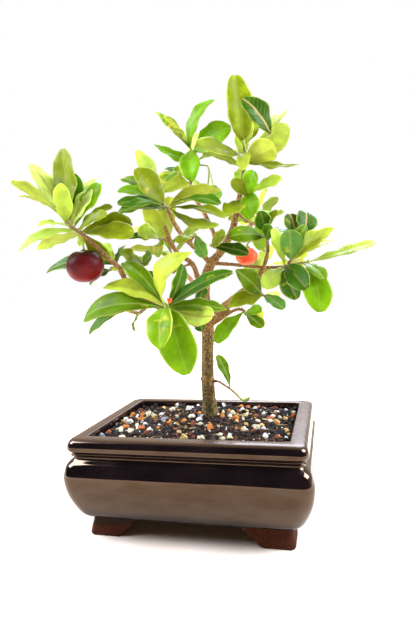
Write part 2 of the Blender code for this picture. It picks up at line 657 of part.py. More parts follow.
def make_screen(name, x):
    """A square of plastic mesh on the pot's floor over a drainage hole."""
    shape = bmesh.new()
    bmesh.ops.create_grid(
        shape, x_segments=SCREEN_CELLS, y_segments=SCREEN_CELLS, size=SCREEN_SIZE / 2 * MM,
        matrix=Matrix.Translation(Vector((x, 0, FLOOR_TOP + GAP + SCREEN_THICKNESS / 2)) * MM),
    )
    screen = add_object(name, mesh_from(name, shape), BONSAI, "plastic_screen")
    wires = screen.modifiers.new("wires", "WIREFRAME")
    wires.thickness = SCREEN_THICKNESS * MM
    wires.use_boundary = True
    wires.use_replace = True
    wires.use_even_offset = False


def soil_height(x, y):
    """The mound: highest at the trunk, level at the pot's wall."""
    away = math.hypot(x - TRUNK_X, y - TRUNK_Y) / MOUND_REACH
    return SOIL_AT_WALL + (SOIL_AT_TRUNK - SOIL_AT_WALL) * math.exp(-away * away)


def make_soil():
    dice = random.Random(21)
    inner = [(inset + GAP + 0.05, height, radius) for inset, height, radius in INNER_PROFILE]
    inner[-1] = (inner[-1][0], FLOOR_TOP + GAP, inner[-1][2])
    below_mouth = [row for row in inner if row[1] <= SOIL_BODY_TOP]
    soil = loft("soil_and_gravel", [pot_ring(*row) for row in reversed(below_mouth)], BONSAI)

    half_x = POT_LENGTH / 2 - INNER_PROFILE[2][0] - GAP - 0.25
    half_y = POT_WIDTH / 2 - INNER_PROFILE[2][0] - GAP - 0.25
    columns = round(2 * half_x / RUBBLE_PITCH)
    rows = round(2 * half_y / RUBBLE_PITCH)
    shape = bmesh.new()
    bmesh.ops.create_grid(shape, x_segments=columns, y_segments=rows, size=1.0)
    for vert in shape.verts:
        x, y = vert.co.x * half_x, vert.co.y * half_y
        at_edge = max(abs(vert.co.x), abs(vert.co.y)) > 0.999
        if not at_edge:
            x += dice.uniform(-RUBBLE_SHIFT, RUBBLE_SHIFT)
            y += dice.uniform(-RUBBLE_SHIFT, RUBBLE_SHIFT)
        elif abs(vert.co.x) > 0.999 and abs(vert.co.y) > 0.999:
            x -= math.copysign(RUBBLE_CORNER, x)
            y -= math.copysign(RUBBLE_CORNER, y)
        rubble = RUBBLE_RIM_RELIEF if at_edge else dice.uniform(0, RUBBLE_RELIEF)
        vert.co = Vector((x, y, soil_height(x, y) + rubble)) * MM
    bmesh.ops.triangulate(shape, faces=shape.faces)
    rim = [edge for edge in shape.edges if edge.is_boundary]
    skirt = bmesh.ops.extrude_edge_only(shape, edges=rim)["geom"]
    lowered = [item for item in skirt if isinstance(item, bmesh.types.BMVert)]
    for vert in lowered:
        vert.co.z = RUBBLE_BOTTOM * MM
    bottom = [item for item in skirt if isinstance(item, bmesh.types.BMEdge)]
    bmesh.ops.contextual_create(shape, geom=[edge for edge in bottom if edge.is_boundary])
    add_object("rubble", mesh_from("rubble", shape), REPEATS)

    placed = []
    while len(placed) < STONE_COUNT:
        size = dice.uniform(*STONE_SIZES)
        x = dice.uniform(STONE_MARGIN - half_x, half_x - STONE_MARGIN)
        y = dice.uniform(STONE_MARGIN - half_y, half_y - STONE_MARGIN)
        if math.hypot(x - TRUNK_X, y - TRUNK_Y) < HOLE_RADIUS + STONE_MARGIN:
            continue
        if any(math.hypot(x - px, y - py) < STONE_SPACING * (size + other) for px, py, other in placed):
            continue
        placed.append((x, y, size))
        stone = bmesh.new()
        bmesh.ops.create_icosphere(stone, subdivisions=1, radius=size / 2 * MM)
        turn = Matrix.Rotation(dice.uniform(0, math.tau), 4, "Z")
        tilt = Matrix.Rotation(dice.uniform(0, 1), 4, "X")
        squeeze = Matrix.Diagonal((dice.uniform(0.95, 1.2), dice.uniform(0.8, 1), dice.uniform(0.7, 0.9), 1))
        place = Matrix.Translation(Vector((x, y, soil_height(x, y) + STONE_LIFT)) * MM)
        bmesh.ops.transform(stone, matrix=place @ turn @ tilt @ squeeze, verts=stone.verts)
        add_object("stone", mesh_from("stone", stone), REPEATS)
    apply_boolean(soil, "UNION", REPEATS)

    hole = bmesh.new()
    bmesh.ops.create_cone(
        hole, cap_ends=True, segments=16, radius1=HOLE_RADIUS * MM, radius2=HOLE_RADIUS * MM,
        depth=HOLE_DEPTH * MM,
        matrix=Matrix.Translation(Vector((TRUNK_X, TRUNK_Y, HOLE_BOTTOM + HOLE_DEPTH / 2)) * MM),
    )
    cutters = [add_object("trunk_hole", mesh_from("trunk_hole", hole), CUTTERS)]
    for side in (-1, 1):
        recess = bmesh.new()
        bmesh.ops.create_cube(recess, size=1)
        depth = 2 * (SCREEN_THICKNESS + GAP + RECESS_HEADROOM)
        width = SCREEN_SIZE + 2 * RECESS_MARGIN
        place = Matrix.Translation(Vector((side * DRAIN_X, 0, FLOOR_TOP)) * MM)
        size = Matrix.Diagonal((width * MM, width * MM, depth * MM, 1))
        bmesh.ops.transform(recess, matrix=place @ size, verts=recess.verts)
        cutters.append(add_object("screen_recess", mesh_from("screen_recess", recess), CUTTERS))
    for cutter in cutters:
        cutter.hide_render = True
        cutter.display_type = "WIRE"
    apply_boolean(soil, "DIFFERENCE", CUTTERS)
    soil.data.materials.clear()
    soil.data.materials.append(material("soil"))


def make_wood():
    trunk = tube("trunk_and_limbs", WOOD_ROUTES["trunk"], TRUNK_SPACING, 2, BONSAI)
    for name, points in WOOD_ROUTES.items():
        if name != "trunk":
            thick = points[0][3] > TWIG_RADIUS
            tube(name, points, LIMB_SPACING, 2 if thick else 1, REPEATS)
    apply_boolean(trunk, "UNION", REPEATS)
    trunk.data.materials.clear()
    trunk.data.materials.append(material("bark"))


def blade_outline(u, form):
    """Half of the blade's width at u, from its foot at 0 to its tip at 1, as a share."""
    widest, foot_taper, tip_taper = BLADE_FORMS[form]
    return (u / widest) ** foot_taper * ((1 - u) / (1 - widest)) ** tip_taper


def turned_face(axis, turn):
    """The way a blade's upper face looks, from its turn about its own axis."""
    front = Vector((0, -1, 0))
    face = (front - front.project(axis)).normalized()
    return Matrix.Rotation(math.radians(turn), 3, axis) @ face


def leaf(name, foot, tip, width, face, arch, wave_start, form="obovate"):
    """A blade from its foot on the stem to its tip, folded along the midrib and arched."""
    axis = tip - foot
    length = axis.length
    axis.normalize()
    side = axis.cross(face).normalized()
    shape = bmesh.new()
    stations = SMALL_BLADE_STATIONS if length < SMALL_BLADE else BLADE_STATIONS
    spans = len(stations) - 1
    bmesh.ops.create_grid(shape, x_segments=spans, y_segments=2, size=1.0)
    for vert in shape.verts:
        u = stations[round((vert.co.x + 1) / 2 * spans)]
        v = round(vert.co.y)
        half = width / 2 * blade_outline(u, form)
        bow = arch * length * 4 * u * (1 - u)
        wave = BLADE_WAVE * math.sin(wave_start + WAVE_TURN * u + v) * 4 * u * (1 - u)
        lift = abs(v) * (BLADE_FOLD * half + wave)
        vert.co = (foot + axis * (length * u) + side * (half * v) + face * (bow + lift)) * MM
    bmesh.ops.remove_doubles(shape, verts=shape.verts, dist=0.01 * MM)
    bmesh.ops.triangulate(shape, faces=shape.faces)
    blade = add_object(name, mesh_from(name, shape), REPEATS)
    solid = blade.modifiers.new("thickness", "SOLIDIFY")
    solid.thickness = BLADE_THICKNESS * MM
    solid.offset = 0.0


def along_stem(points, share):
    """The place at a share of a stem's length."""
    places = [p.to_3d() for p in smooth_route(points, 2)]
    reach = sum((b - a).length for a, b in zip(places, places[1:])) * share
    for a, b in zip(places, places[1:]):
        step = (b - a).length
        if reach <= step:
            return a.lerp(b, reach / step)
        reach -= step
    return places[-1]


def make_leafy_stem(name, spray):
    node = "leafy_stem_" + name
    stems = [tube(f"{node}_{i}", points, STEM_SPACING, 1, REPEATS) for i, points in enumerate(spray["stems"])]
    for number, (stem, share, tip, width, turn, arch, *form) in enumerate(spray["leaves"]):
        foot = along_stem(spray["stems"][stem], min(share, 0.96))
        tip = Vector(tip)
        face = turned_face((tip - foot).normalized(), turn)
        leaf(f"leaf_{number}", foot, tip, width, face, arch, number, *form)
    fuse_spray(node, stems[0])


def fuse_spray(node, first_stem):
    """All the leaves and stems of one spray become one body."""
    base = add_object(node, first_stem.data.copy(), BONSAI, "leaf")
    bpy.data.objects.remove(first_stem)
    apply_boolean(base, "UNION", REPEATS)
    base.data.materials.clear()
    base.data.materials.append(material("leaf"))


def rule_leaves(points, count, length, seed):
    """Leaves in a spiral up the stem, each a golden angle on, tilted out and looking up."""
    dice = random.Random(seed)
    grows = (Vector(points[-1][:3]) - Vector(points[0][:3])).normalized()
    side = grows.orthogonal().normalized()
    for number in range(count):
        share = 0.12 + 0.84 * number / (count - 1)
        foot = along_stem(points, share)
        out = Matrix.Rotation(number * GOLDEN_ANGLE + seed, 3, grows) @ side
        tilt = math.radians(75 - 45 * share + dice.uniform(-8, 8))
        way = grows * math.cos(tilt) + out * math.sin(tilt)
        reach = length * dice.uniform(0.8, 1.1)
        looks = Vector((0, 0.2, 1)) + grows * 0.5
        face = (looks - looks.project(way)).normalized()
        yield number, foot, foot + way * reach, reach * BACK_BLADE_SHAPE, face, dice.uniform(0.04, 0.1)


def make_back_stem(name, row):
    node = "leafy_stem_" + name
    points, count, length, seed = row
    stem = tube(node + "_0", points, STEM_SPACING, 1, REPEATS)
    for number, foot, tip, width, face, arch in rule_leaves(points, count, length, seed):
        leaf(f"leaf_{number}", foot, tip, width, face, arch, number)
    fuse_spray(node, stem)


def make_cherry(name, fruit, material_name, segments):
    """A fruit of three faint lobes, with a dimple where the stalk sits."""
    middle, half_width, half_height = fruit
    shape = bmesh.new()
    bmesh.ops.create_uvsphere(shape, u_segments=segments, v_segments=segments // 2 + 2, radius=1.0)
    for vert in shape.verts:
        x, y, z = vert.co
        around = math.atan2(y, x)
        level = math.hypot(x, y)
        lobe = 1 + FRUIT_LOBES * math.cos(3 * around) * level
        in_dimple = math.hypot(x, y / FURROW) / DIMPLE_REACH
        dimple = FRUIT_DIMPLE * math.exp(-in_dimple * in_dimple) * (1 if z > 0 else 0.3)
        height = z * (1 - dimple)
        vert.co = (Vector(middle) + Vector((x * lobe, y * lobe, 0)) * half_width
                   + Vector((0, 0, height * half_height))) * MM
    fruit_object = add_object(name, mesh_from(name, shape), BONSAI, material_name)
    fruit_object.data.shade_smooth()


def make_stalks(name, routes):
    stems = [tube(f"{name}_{i}", points, STEM_SPACING, 1, REPEATS) for i, points in enumerate(routes)]
    base = add_object(name, stems[0].data.copy(), BONSAI, "stalk")
    bpy.data.objects.remove(stems[0])
    if len(stems) > 1:
        apply_boolean(base, "UNION", REPEATS)


make_pot()
make_screen("drain_screen_left", -DRAIN_X)
make_screen("drain_screen_right", DRAIN_X)
make_soil()
make_wood()
for spray_name, spray_row in LEAFY_STEMS.items():
    make_leafy_stem(spray_name, spray_row)
for spray_name, spray_row in BACK_STEMS.items():
    make_back_stem(spray_name, spray_row)
make_cherry("ripe_cherry", RIPE_CHERRY, "ripe_fruit", 14)
make_cherry("orange_cherry", ORANGE_CHERRY, "orange_fruit", 12)
for cherry_name, cherry_row in GREEN_CHERRIES.items():
    make_cherry(cherry_name, cherry_row, "green_fruit", 10)
for stalk_name, stalk_routes in STALKS.items():
    make_stalks(stalk_name, stalk_routes)
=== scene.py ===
"""Looks of the barbados cherry bonsai in its glazed pot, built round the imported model.

Tables give millimetres in the model's own frame: X to the right along the pot, Y to the back,
Z up from the surface that the feet stand on. The meshes are in metres.
"""

import math
import random

import bmesh
import bpy
from mathutils import Matrix, Vector, kdtree, noise


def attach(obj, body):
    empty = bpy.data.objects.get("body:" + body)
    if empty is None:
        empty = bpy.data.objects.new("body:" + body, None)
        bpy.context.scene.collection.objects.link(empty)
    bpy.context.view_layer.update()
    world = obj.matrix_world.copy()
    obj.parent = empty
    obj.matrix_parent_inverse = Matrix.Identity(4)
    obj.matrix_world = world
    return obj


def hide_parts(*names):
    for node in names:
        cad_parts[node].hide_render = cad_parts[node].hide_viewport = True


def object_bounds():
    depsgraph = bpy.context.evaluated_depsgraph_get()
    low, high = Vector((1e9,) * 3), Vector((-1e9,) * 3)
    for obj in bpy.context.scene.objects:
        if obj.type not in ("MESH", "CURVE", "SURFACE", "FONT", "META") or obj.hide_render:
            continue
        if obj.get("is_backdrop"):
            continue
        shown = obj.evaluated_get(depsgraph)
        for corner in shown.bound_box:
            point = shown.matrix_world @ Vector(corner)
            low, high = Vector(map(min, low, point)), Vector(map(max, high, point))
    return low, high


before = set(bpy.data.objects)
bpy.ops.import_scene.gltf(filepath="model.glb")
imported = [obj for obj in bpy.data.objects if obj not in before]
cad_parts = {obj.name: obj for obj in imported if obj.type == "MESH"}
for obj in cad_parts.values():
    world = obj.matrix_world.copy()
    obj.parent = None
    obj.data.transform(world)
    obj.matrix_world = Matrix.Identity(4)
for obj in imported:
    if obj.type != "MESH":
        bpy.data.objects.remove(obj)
cad_low, cad_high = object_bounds()

# The pot is slip-cast stoneware in one piece with its four corner feet. Its walls are a rounded
# rectangle that swells to the belly and draws in under a heavy rim with a fine double moulding.
# It was dipped in an iron-black gloss glaze and fired; the feet were wiped bare.
MM = 0.001
POT_LENGTH = 150.0
POT_WIDTH = 121.0
POT_HEIGHT = 62.0
FOOT_HEIGHT = 12.0
FLOOR_TOP = 18.5
# Inset from the belly, height and corner radius, from the foot up to the rim
OUTER_PROFILE = [
    (12.6, FOOT_HEIGHT, 8.0), (7.6, 14.5, 8.5), (3.7, 21.5, 9.0), (1.1, 29.4, 8.5), (0.0, 38.0, 8.0),
    (0.6, 42.4, 7.5), (2.0, 46.5, 7.0), (5.2, 49.8, 5.5), (5.4, 51.2, 5.0), (4.4, 51.9, 5.5),
    (5.0, 52.6, 5.0), (4.6, 53.4, 5.5), (3.3, 54.6, 6.0), (2.7, 56.2, 6.0), (2.9, 58.2, 6.0),
    (3.8, 60.3, 5.5), (5.3, 61.6, 5.0), (7.0, POT_HEIGHT, 4.0),
]
INNER_PROFILE = [
    (12.4, POT_HEIGHT, 3.0), (13.3, 61.2, 3.0), (13.3, 55.0, 3.0), (9.5, 46.0, 5.0),
    (8.0, 39.0, 6.0), (9.0, 30.0, 6.5), (13.0, 21.5, 6.5), (16.5, FLOOR_TOP, 6.5),
]
PROFILE_STEPS = 4
CORNER_STEPS = 9
WALL_POINT_SPACING = 7.0
FOOT_CORNER = (60.5, 45.5)
FOOT_FLARE = 2.8
FOOT_TOP_LENGTH = 36.0
FOOT_GROUND_LENGTH = 20.0
FOOT_THICKNESS = 9.0
FOOT_TOP = FOOT_HEIGHT + 3.0  # sunk into the pot's underside
FOOT_LEVELS = 9
FOOT_CORNER_RADIUS = 3.5
FOOT_EDGE = 2.4
FOOT_EDGE_STEPS = 4
FOOT_SLOPE = 1.15  # how much more slowly a foot's free end leaves the ground than it nears the pot
DRAIN_RADIUS = 7.0
DRAIN_X = 30.0
DRAIN_SIDES = 48
DRAIN_BOTTOM, DRAIN_TOP = 5.0, 25.0
SHARP_CORNER = 50
GLAZE_LINE_LEFT = 6.5
GLAZE_LINE_RIGHT = 12.6
GLAZE_LINE_WANDER = 1.4
# Low on the pot the glaze is made to reflect less: painted shade on the underside of the belly and on the
# feet
SHADED_UNDER, UNSHADED_OVER = 13.0, 20.0  # heights between which the glaze comes to its full gloss


def colour(code):
    """A colour written as sRGB hex, as linear light with full opacity."""
    channels = [int(code[i:i + 2], 16) / 255 for i in (1, 3, 5)]
    return (*[c / 12.92 if c <= 0.04045 else ((c + 0.055) / 1.055) ** 2.4 for c in channels], 1.0)


def add(tree, kind, inputs=None, out=None, stops=None, **settings):
    """Adds a node, sets or links its sockets and gives back the output that is asked for."""
    node = tree.nodes.new(kind if "Node" in kind else "ShaderNode" + kind)
    for name, value in settings.items():
        setattr(node, name, value)
    for name, value in (inputs or {}).items():
        in_use = [s for s in enumerate(node.inputs) if s[1].enabled]
        socket = next(s for i, s in in_use if name in (i, s.identifier, s.name))
        if isinstance(value, bpy.types.NodeSocket):
            tree.links.new(value, socket)
        else:
            socket.default_value = value
    if stops:
        ramp = node.color_ramp
        ramp.elements.remove(ramp.elements[1])
        ramp.elements[0].position = stops[0][0]
        ramp.elements[0].color = colour(stops[0][1])
        for place, code in stops[1:]:
            ramp.elements.new(place).color = colour(code)
    return next((s for s in node.outputs if s.enabled and out in (None, s.identifier, s.name)), node)


def new_finish(name):
    """An empty material for one real finish, its node tree, and the place on the object."""
    finish = bpy.data.materials.new(name)
    finish.use_nodes = True
    tree = finish.node_tree
    tree.nodes.clear()
    return finish, tree, add(tree, "TexCoord", out="Object")


def dress(tree, tone, rough, shine=0.5, relief=None, depth=0.0, others=None):
    """Ends a finish in one shader; the relief stands up by the depth."""
    sockets = {"Base Color": tone, "Roughness": rough, "Specular IOR Level": shine, **(others or {})}
    if relief:
        sockets["Normal"] = add(tree, "Bump", {"Height": relief, "Distance": depth})
    shader = add(tree, "BsdfPrincipled", sockets)
    add(tree, "OutputMaterial", {"Surface": shader})


def add_object(name, mesh, *finishes):
    made = bpy.data.objects.new(name, mesh)
    bpy.context.scene.collection.objects.link(made)
    for finish in finishes:
        mesh.materials.append(finish)
    return made


def applied(thing):
    """Turns an object with modifiers into a plain mesh."""
    graph = bpy.context.evaluated_depsgraph_get()
    mesh = bpy.data.meshes.new_from_object(thing.evaluated_get(graph))
    thing.modifiers.clear()
    thing.data = mesh
    return thing


def stands_for(piece, slot, *nodes):
    """Puts a finished piece in the place of its nodes; nothing on a bonsai moves."""
    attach(piece, "root")
    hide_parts(*nodes)


def through(values, steps):
    """A smooth run of vectors through the given ones, each stretch cut into equal steps."""
    ends = [2 * values[0] - values[1], *values, 2 * values[-1] - values[-2]]
    run = []
    for before, start, stop, after in zip(ends, ends[1:], ends[2:], ends[3:]):
        count = steps(start, stop)
        for step in range(count):
            t = step / count
            run.append(0.5 * (
                2 * start + (stop - before) * t + (2 * before - 5 * start + 4 * stop - after) * t * t
                + (3 * start - before - 3 * stop + after) * t ** 3
            ))
    return [*run, values[-1]]


def rounded_ring(half_x, half_y, radius):
    """A rounded rectangle, counterclockwise, with points along its straight sides as well."""
    ring = []
    for quarter, (sx, sy) in enumerate([(1, -1), (1, 1), (-1, 1), (-1, -1)]):
        for step in range(CORNER_STEPS + 1):
            angle = math.radians(-90 + 90 * quarter + 90 * step / CORNER_STEPS)
            x = sx * (half_x - radius) + radius * math.cos(angle)
            y = sy * (half_y - radius) + radius * math.sin(angle)
            ring.append(Vector((x, y)))
    filled = []
    for place, following in zip(ring, ring[1:] + ring[:1]):
        filled.append(place)
        along_x = abs(following.x - place.x) > abs(following.y - place.y)
        spans = round((POT_LENGTH if along_x else POT_WIDTH) / WALL_POINT_SPACING)
        if (following - place).length > WALL_POINT_SPACING:
            filled += [place.lerp(following, i / spans) for i in range(1, spans)]
    return filled


def pot_ring(inset, height, radius):
    ring = rounded_ring(POT_LENGTH / 2 - inset, POT_WIDTH / 2 - inset, radius)
    return [(p.x, p.y, height) for p in ring]


def loft(name, rings, *finishes):
    """A closed body through rings of equal count, each a list of points in millimetres."""
    points = [Vector(p) * MM for ring in rings for p in ring]
    count = len(rings[0])
    faces = [tuple(reversed(range(count))), tuple(range(len(points) - count, len(points)))]
    for low in range(0, len(points) - count, count):
        for i in range(count):
            j = (i + 1) % count
            faces.append((low + i, low + j, low + count + j, low + count + i))
    mesh = bpy.data.meshes.new(name)
    mesh.from_pydata(points, [], faces)
    mesh.shade_smooth()
    return add_object(name, mesh, *finishes)


def smooth_profile(rows):
    return through([Vector(row) for row in rows], lambda a, b: PROFILE_STEPS)


def foot_outline(height):
    """The corner foot seen from above, at a height: two arms that grow shorter to the ground."""
    share = height / FOOT_TOP
    reach = FOOT_GROUND_LENGTH + (FOOT_TOP_LENGTH - FOOT_GROUND_LENGTH) * share ** FOOT_SLOPE
    x, y = (c + FOOT_FLARE * (1 - share) for c in FOOT_CORNER)
    ring = [(x - reach, y), (x - reach, y - FOOT_THICKNESS), (x - FOOT_THICKNESS, y - FOOT_THICKNESS)]
    ring += [(x - FOOT_THICKNESS, y - reach), (x, y - reach)]
    for step in range(CORNER_STEPS):
        angle = math.radians(90 * step / (CORNER_STEPS - 1))
        in_x, in_y = (FOOT_CORNER_RADIUS * (1 - part(angle)) for part in (math.cos, math.sin))
        ring.append((x - in_x, y - in_y))
    return [(px, py, height) for px, py in ring]


def joined(base, operation, parts):
    """One Boolean of base with each part, applied; the parts are used up."""
    for part in parts:
        step = base.modifiers.new(operation.lower(), "BOOLEAN")
        step.operation = operation
        step.solver = "EXACT"
        step.object = part
    applied(base)
    for part in parts:
        bpy.data.objects.remove(part)


pot = loft("glazed_pot", [pot_ring(*row) for row in smooth_profile(OUTER_PROFILE)]
           + [pot_ring(*row) for row in smooth_profile(INNER_PROFILE)])
corner_feet = []
for sign_x in (1, -1):
    for sign_y in (1, -1):
        levels = [FOOT_TOP * i / FOOT_LEVELS for i in range(FOOT_LEVELS + 1)]
        foot = loft("foot", [foot_outline(level) for level in levels])
        soft_edge = foot.modifiers.new("soft_edge", "BEVEL")
        soft_edge.width = FOOT_EDGE * MM
        soft_edge.segments = FOOT_EDGE_STEPS
        soft_edge.limit_method = "ANGLE"
        applied(foot)
        foot.data.transform(Matrix.Diagonal((sign_x, sign_y, 1, 1)))
        if sign_x * sign_y > 0:
            foot.data.flip_normals()
        corner_feet.append(foot)
joined(pot, "UNION", corner_feet)
drains = []
for side in (-1, 1):
    drain = bmesh.new()
    bmesh.ops.create_cone(
        drain, cap_ends=True, segments=DRAIN_SIDES, radius1=DRAIN_RADIUS * MM, radius2=DRAIN_RADIUS * MM,
        depth=(DRAIN_TOP - DRAIN_BOTTOM) * MM,
        matrix=Matrix.Translation(Vector((side * DRAIN_X, 0, (DRAIN_BOTTOM + DRAIN_TOP) / 2)) * MM),
    )
    hole = bpy.data.meshes.new("drain")
    drain.to_mesh(hole)
    drain.free()
    drains.append(add_object("drain", hole))
joined(pot, "DIFFERENCE", drains)
pot.data.shade_smooth()
pot.data.set_sharp_from_angle(angle=math.radians(SHARP_CORNER))

# Iron-black tenmoku glaze over red stoneware: deep glassy black with soft wavy reflections,
# browner where it ran thin on the edges of rim and mouldings; the bare clay is dull red-brown.
glaze, tree, place = new_finish("tenmoku_glaze_on_red_stoneware")
parts = add(tree, "SeparateXYZ", {"Vector": place}).node.outputs
wander = add(tree, "TexNoise", {"Vector": place, "Scale": 1 / (14 * MM), "Detail": 2.0})
line = add(tree, "MapRange", {
    "Value": parts["X"], "From Min": -FOOT_CORNER[0] * MM, "From Max": FOOT_CORNER[0] * MM,
    "To Min": (GLAZE_LINE_LEFT - GLAZE_LINE_WANDER / 2) * MM,
    "To Max": (GLAZE_LINE_RIGHT - GLAZE_LINE_WANDER / 2) * MM,
})
line = add(tree, "Math", {0: wander, 1: GLAZE_LINE_WANDER * MM, 2: line}, operation="MULTIPLY_ADD")
above = add(tree, "Math", {0: parts["Z"], 1: line}, operation="SUBTRACT")
glazed = add(tree, "MapRange", {"Value": above, "From Min": -0.1 * MM, "From Max": 0.25 * MM})
run = add(tree, "TexNoise", {"Vector": place, "Scale": 1 / (18 * MM), "Detail": 4.0})
deep = add(tree, "ValToRGB", {"Fac": run}, stops=[(0.35, "#0b080a"), (0.6, "#130d0f"), (0.78, "#1e1415")])
height = add(tree, "Math", {0: parts["Z"], 1: 1 / (POT_HEIGHT * MM)}, operation="MULTIPLY")
thin = add(tree, "ValToRGB", {"Fac": height}, stops=[
    (0.2, "#6a5040"), (0.235, "#000000"), (0.82, "#000000"), (0.837, "#806050"), (0.848, "#201810"),
    (0.858, "#806050"), (0.88, "#000000"), (0.975, "#000000"), (0.995, "#ffffff"),
])
glass = add(tree, "Mix", {"Factor": thin, "A": deep, "B": colour("#3f2e22")}, data_type="RGBA")
grain = add(tree, "TexNoise", {"Vector": place, "Scale": 1 / (0.9 * MM), "Detail": 6.0})
clay = add(tree, "ValToRGB", {"Fac": grain}, stops=[
    (0.3, "#2d1610"), (0.55, "#412116"), (0.75, "#573024"),
])
body = add(tree, "Mix", {"Factor": glazed, "A": clay, "B": glass}, data_type="RGBA")
sheen = add(tree, "MapRange", {"Value": run, "To Min": 0.035, "To Max": 0.1})
sheen = add(tree, "Math", {0: thin, 1: 0.2, 2: sheen}, operation="MULTIPLY_ADD")
glassy = add(tree, "MapRange", {"Value": thin, "To Min": 1.68, "To Max": 1.3})
# Below these heights the glaze's reflection is cut back, a painted shade under the belly
out_of_painted_shade = add(tree, "MapRange", {"Value": parts["Z"], "From Min": SHADED_UNDER * MM, "From Max": UNSHADED_OVER * MM})
glassy = add(tree, "Mix", {"Factor": out_of_painted_shade, "A": 1.2, "B": glassy})
sheen = add(tree, "Mix", {"Factor": glazed, "A": 0.72, "B": sheen})
flat = add(tree, "Mapping", {"Vector": place, "Scale": (1, 1, 3)})
haze = add(tree, "TexNoise", {"Vector": flat, "Scale": 1 / (13 * MM), "Detail": 5.0})
haze = add(tree, "ValToRGB", {"Fac": haze}, stops=[(0.3, "#e8bc94"), (0.55, "#ffd5ae"), (0.75, "#ffdfc0")])
ripple = add(tree, "TexNoise", {"Vector": place, "Scale": 1 / (26 * MM), "Detail": 1.0})
surface = add(tree, "Mix", {"Factor": glazed, "A": grain, "B": ripple})
swell = add(tree, "MapRange", {"Value": thin, "To Min": 0.5 * MM, "To Max": 0.15 * MM})
waves = add(tree, "Mix", {"Factor": glazed, "A": 0.1 * MM, "B": swell})
dress(tree, body, rough=sheen, relief=surface, depth=waves, others={"IOR": glassy, "Specular Tint": haze})
pot.data.materials.append(glaze)
stands_for(pot, "glazed_clay", "pot")

# Two squares of black plastic mesh lie on the floor of the pot over its drainage holes and keep
# the mix in. They are cut from a roll of moulded netting, and only show from underneath.
netting, tree, place = new_finish("black_polyethylene_netting")
dust = add(tree, "TexNoise", {"Vector": place, "Scale": 1 / (2.5 * MM), "Detail": 5.0})
# Dull black plastic with brown silt dried on it in patches
dull = add(tree, "ValToRGB", {"Fac": dust}, stops=[(0.45, "#151515"), (0.7, "#3a3028")])
worn = add(tree, "MapRange", {"Value": dust, "To Min": 0.35, "To Max": 0.8})
dress(tree, dull, rough=worn, relief=dust, depth=0.05 * MM)
for side in ("left", "right"):
    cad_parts["drain_screen_" + side].material_slots[0].material = netting

# The potting mix fills the pot to just below its rim and is mounded round the trunk: black
# composted bark with grit. It is raked level by hand, so its crumbs stand up unevenly.
TRUNK_X, TRUNK_Y = 2.0, 15.0
SOIL_AT_WALL = 56.6
SOIL_AT_TRUNK = 60.0
MOUND_REACH = 45.0
WALL_CLEARANCE = 0.35
SOIL_RINGS = 62
CRUMB_SIZE = 3.2
CRUMB_RELIEF = 1.9
CRUMB_LEVEL, CRUMB_SHARE = 0.35, 0.6  # of the relief, at all points and by the crumbs
CRUMB_NOISE = (0.8, 2.0, 3)  # roughness, lacunarity and octaves
SETTLED_EDGE = 0.05  # share of the way in from the wall that is pressed flat


def soil_height(x, y):
    """The mound: highest at the trunk, level at the pot's wall."""
    away = math.hypot(x - TRUNK_X, y - TRUNK_Y) / MOUND_REACH
    return SOIL_AT_WALL + (SOIL_AT_TRUNK - SOIL_AT_WALL) * math.exp(-away * away)


rings = []
for inset, level, radius in reversed(smooth_profile(INNER_PROFILE)):
    if level <= SOIL_AT_WALL:
        rings.append(pot_ring(inset + WALL_CLEARANCE, level + WALL_CLEARANCE, radius))
wall = rings[-1]
for step in range(1, SOIL_RINGS):
    size = 1 - step / SOIL_RINGS
    ring = []
    for x, y, _ in wall:
        x, y = x * size, y * size
        crumbs = noise.fractal(Vector((x, y, 0)) / CRUMB_SIZE, *CRUMB_NOISE)
        settled = min(1.0, (1 - size) / SETTLED_EDGE)
        raised = CRUMB_RELIEF * settled * (CRUMB_LEVEL + CRUMB_SHARE * crumbs)
        ring.append((x, y, soil_height(x, y) + raised))
    rings.append(ring)
mix = loft("potting_mix", rings)
# Damp composted bark: nearly black and without shine, with browner flecks a few millimetres wide
compost, tree, place = new_finish("damp_composted_bark")
flecks = add(tree, "TexVoronoi", {"Vector": place, "Scale": 1 / (1.8 * MM)}, out="Color")
fleck = add(tree, "SeparateColor", {"Color": flecks}, out="Red")
damp = add(tree, "ValToRGB", {"Fac": fleck}, stops=[
    (0.0, "#070504"), (0.5, "#0e0a06"), (0.75, "#1f140b"), (0.9, "#3f2916"), (1.0, "#624122"),
])
crumb = add(tree, "TexNoise", {"Vector": place, "Scale": 1 / (0.8 * MM), "Detail": 6.0})
dress(tree, damp, rough=0.92, shine=0.1, relief=crumb, depth=0.6 * MM)
mix.data.materials.append(compost)
stands_for(mix, "soil", "soil_and_gravel")

# The top dressing is loose aggregate on the mix: white pumice, tan and orange grit, red lava and
# some grey-blue stones, sieved to 1 to 5 mm, with slivers of bark. It lies where it was strewn.
STONE_SHAPES = 5
# Name: largest size, closeness of the stones, seed, subdivisions of a stone
GRADES = {
    "coarse_stones": (5.7, 8.8, 4, 3),
    "middle_stones": (4.3, 5.6, 9, 2),
    "fine_grit": (2.1, 2.7, 17, 2),
    "bark_slivers": (7.5, 7.0, 23, 2),
}
STONE_FORM = ((0.5, 0.5, 0.4), (1.0, 0.9, 0.8))  # narrowest and fullest, as shares of the size
SLIVER_FORM = ((0.5, 0.1, 0.06), (1.1, 0.24, 0.12))
SLIVER_TILT = 0.35
STREWN_INSET = 2.2
STREWN_LIFT = 0.15  # share of its size that a stone's middle stands over the mix
CLOSEST = 400000.0  # points a square metre, before the spacing thins them
BARE_PATCH = 9.0
GROUND_MESH = (60, 48)
BARE_UNDER, COVERED_OVER = 0.4, 0.5  # of the noise that leaves patches of the mix bare
BROKEN, BROKEN_DETAIL = 2.1, 1.5  # faces of a stone, as waves over its width
CHIPPING, CORE = 1.9, 0.05  # how far the waves push a stone's surface out, and from where
NEXT_SHAPE = 5.3  # how far on in the waves the next shape of stone is cut

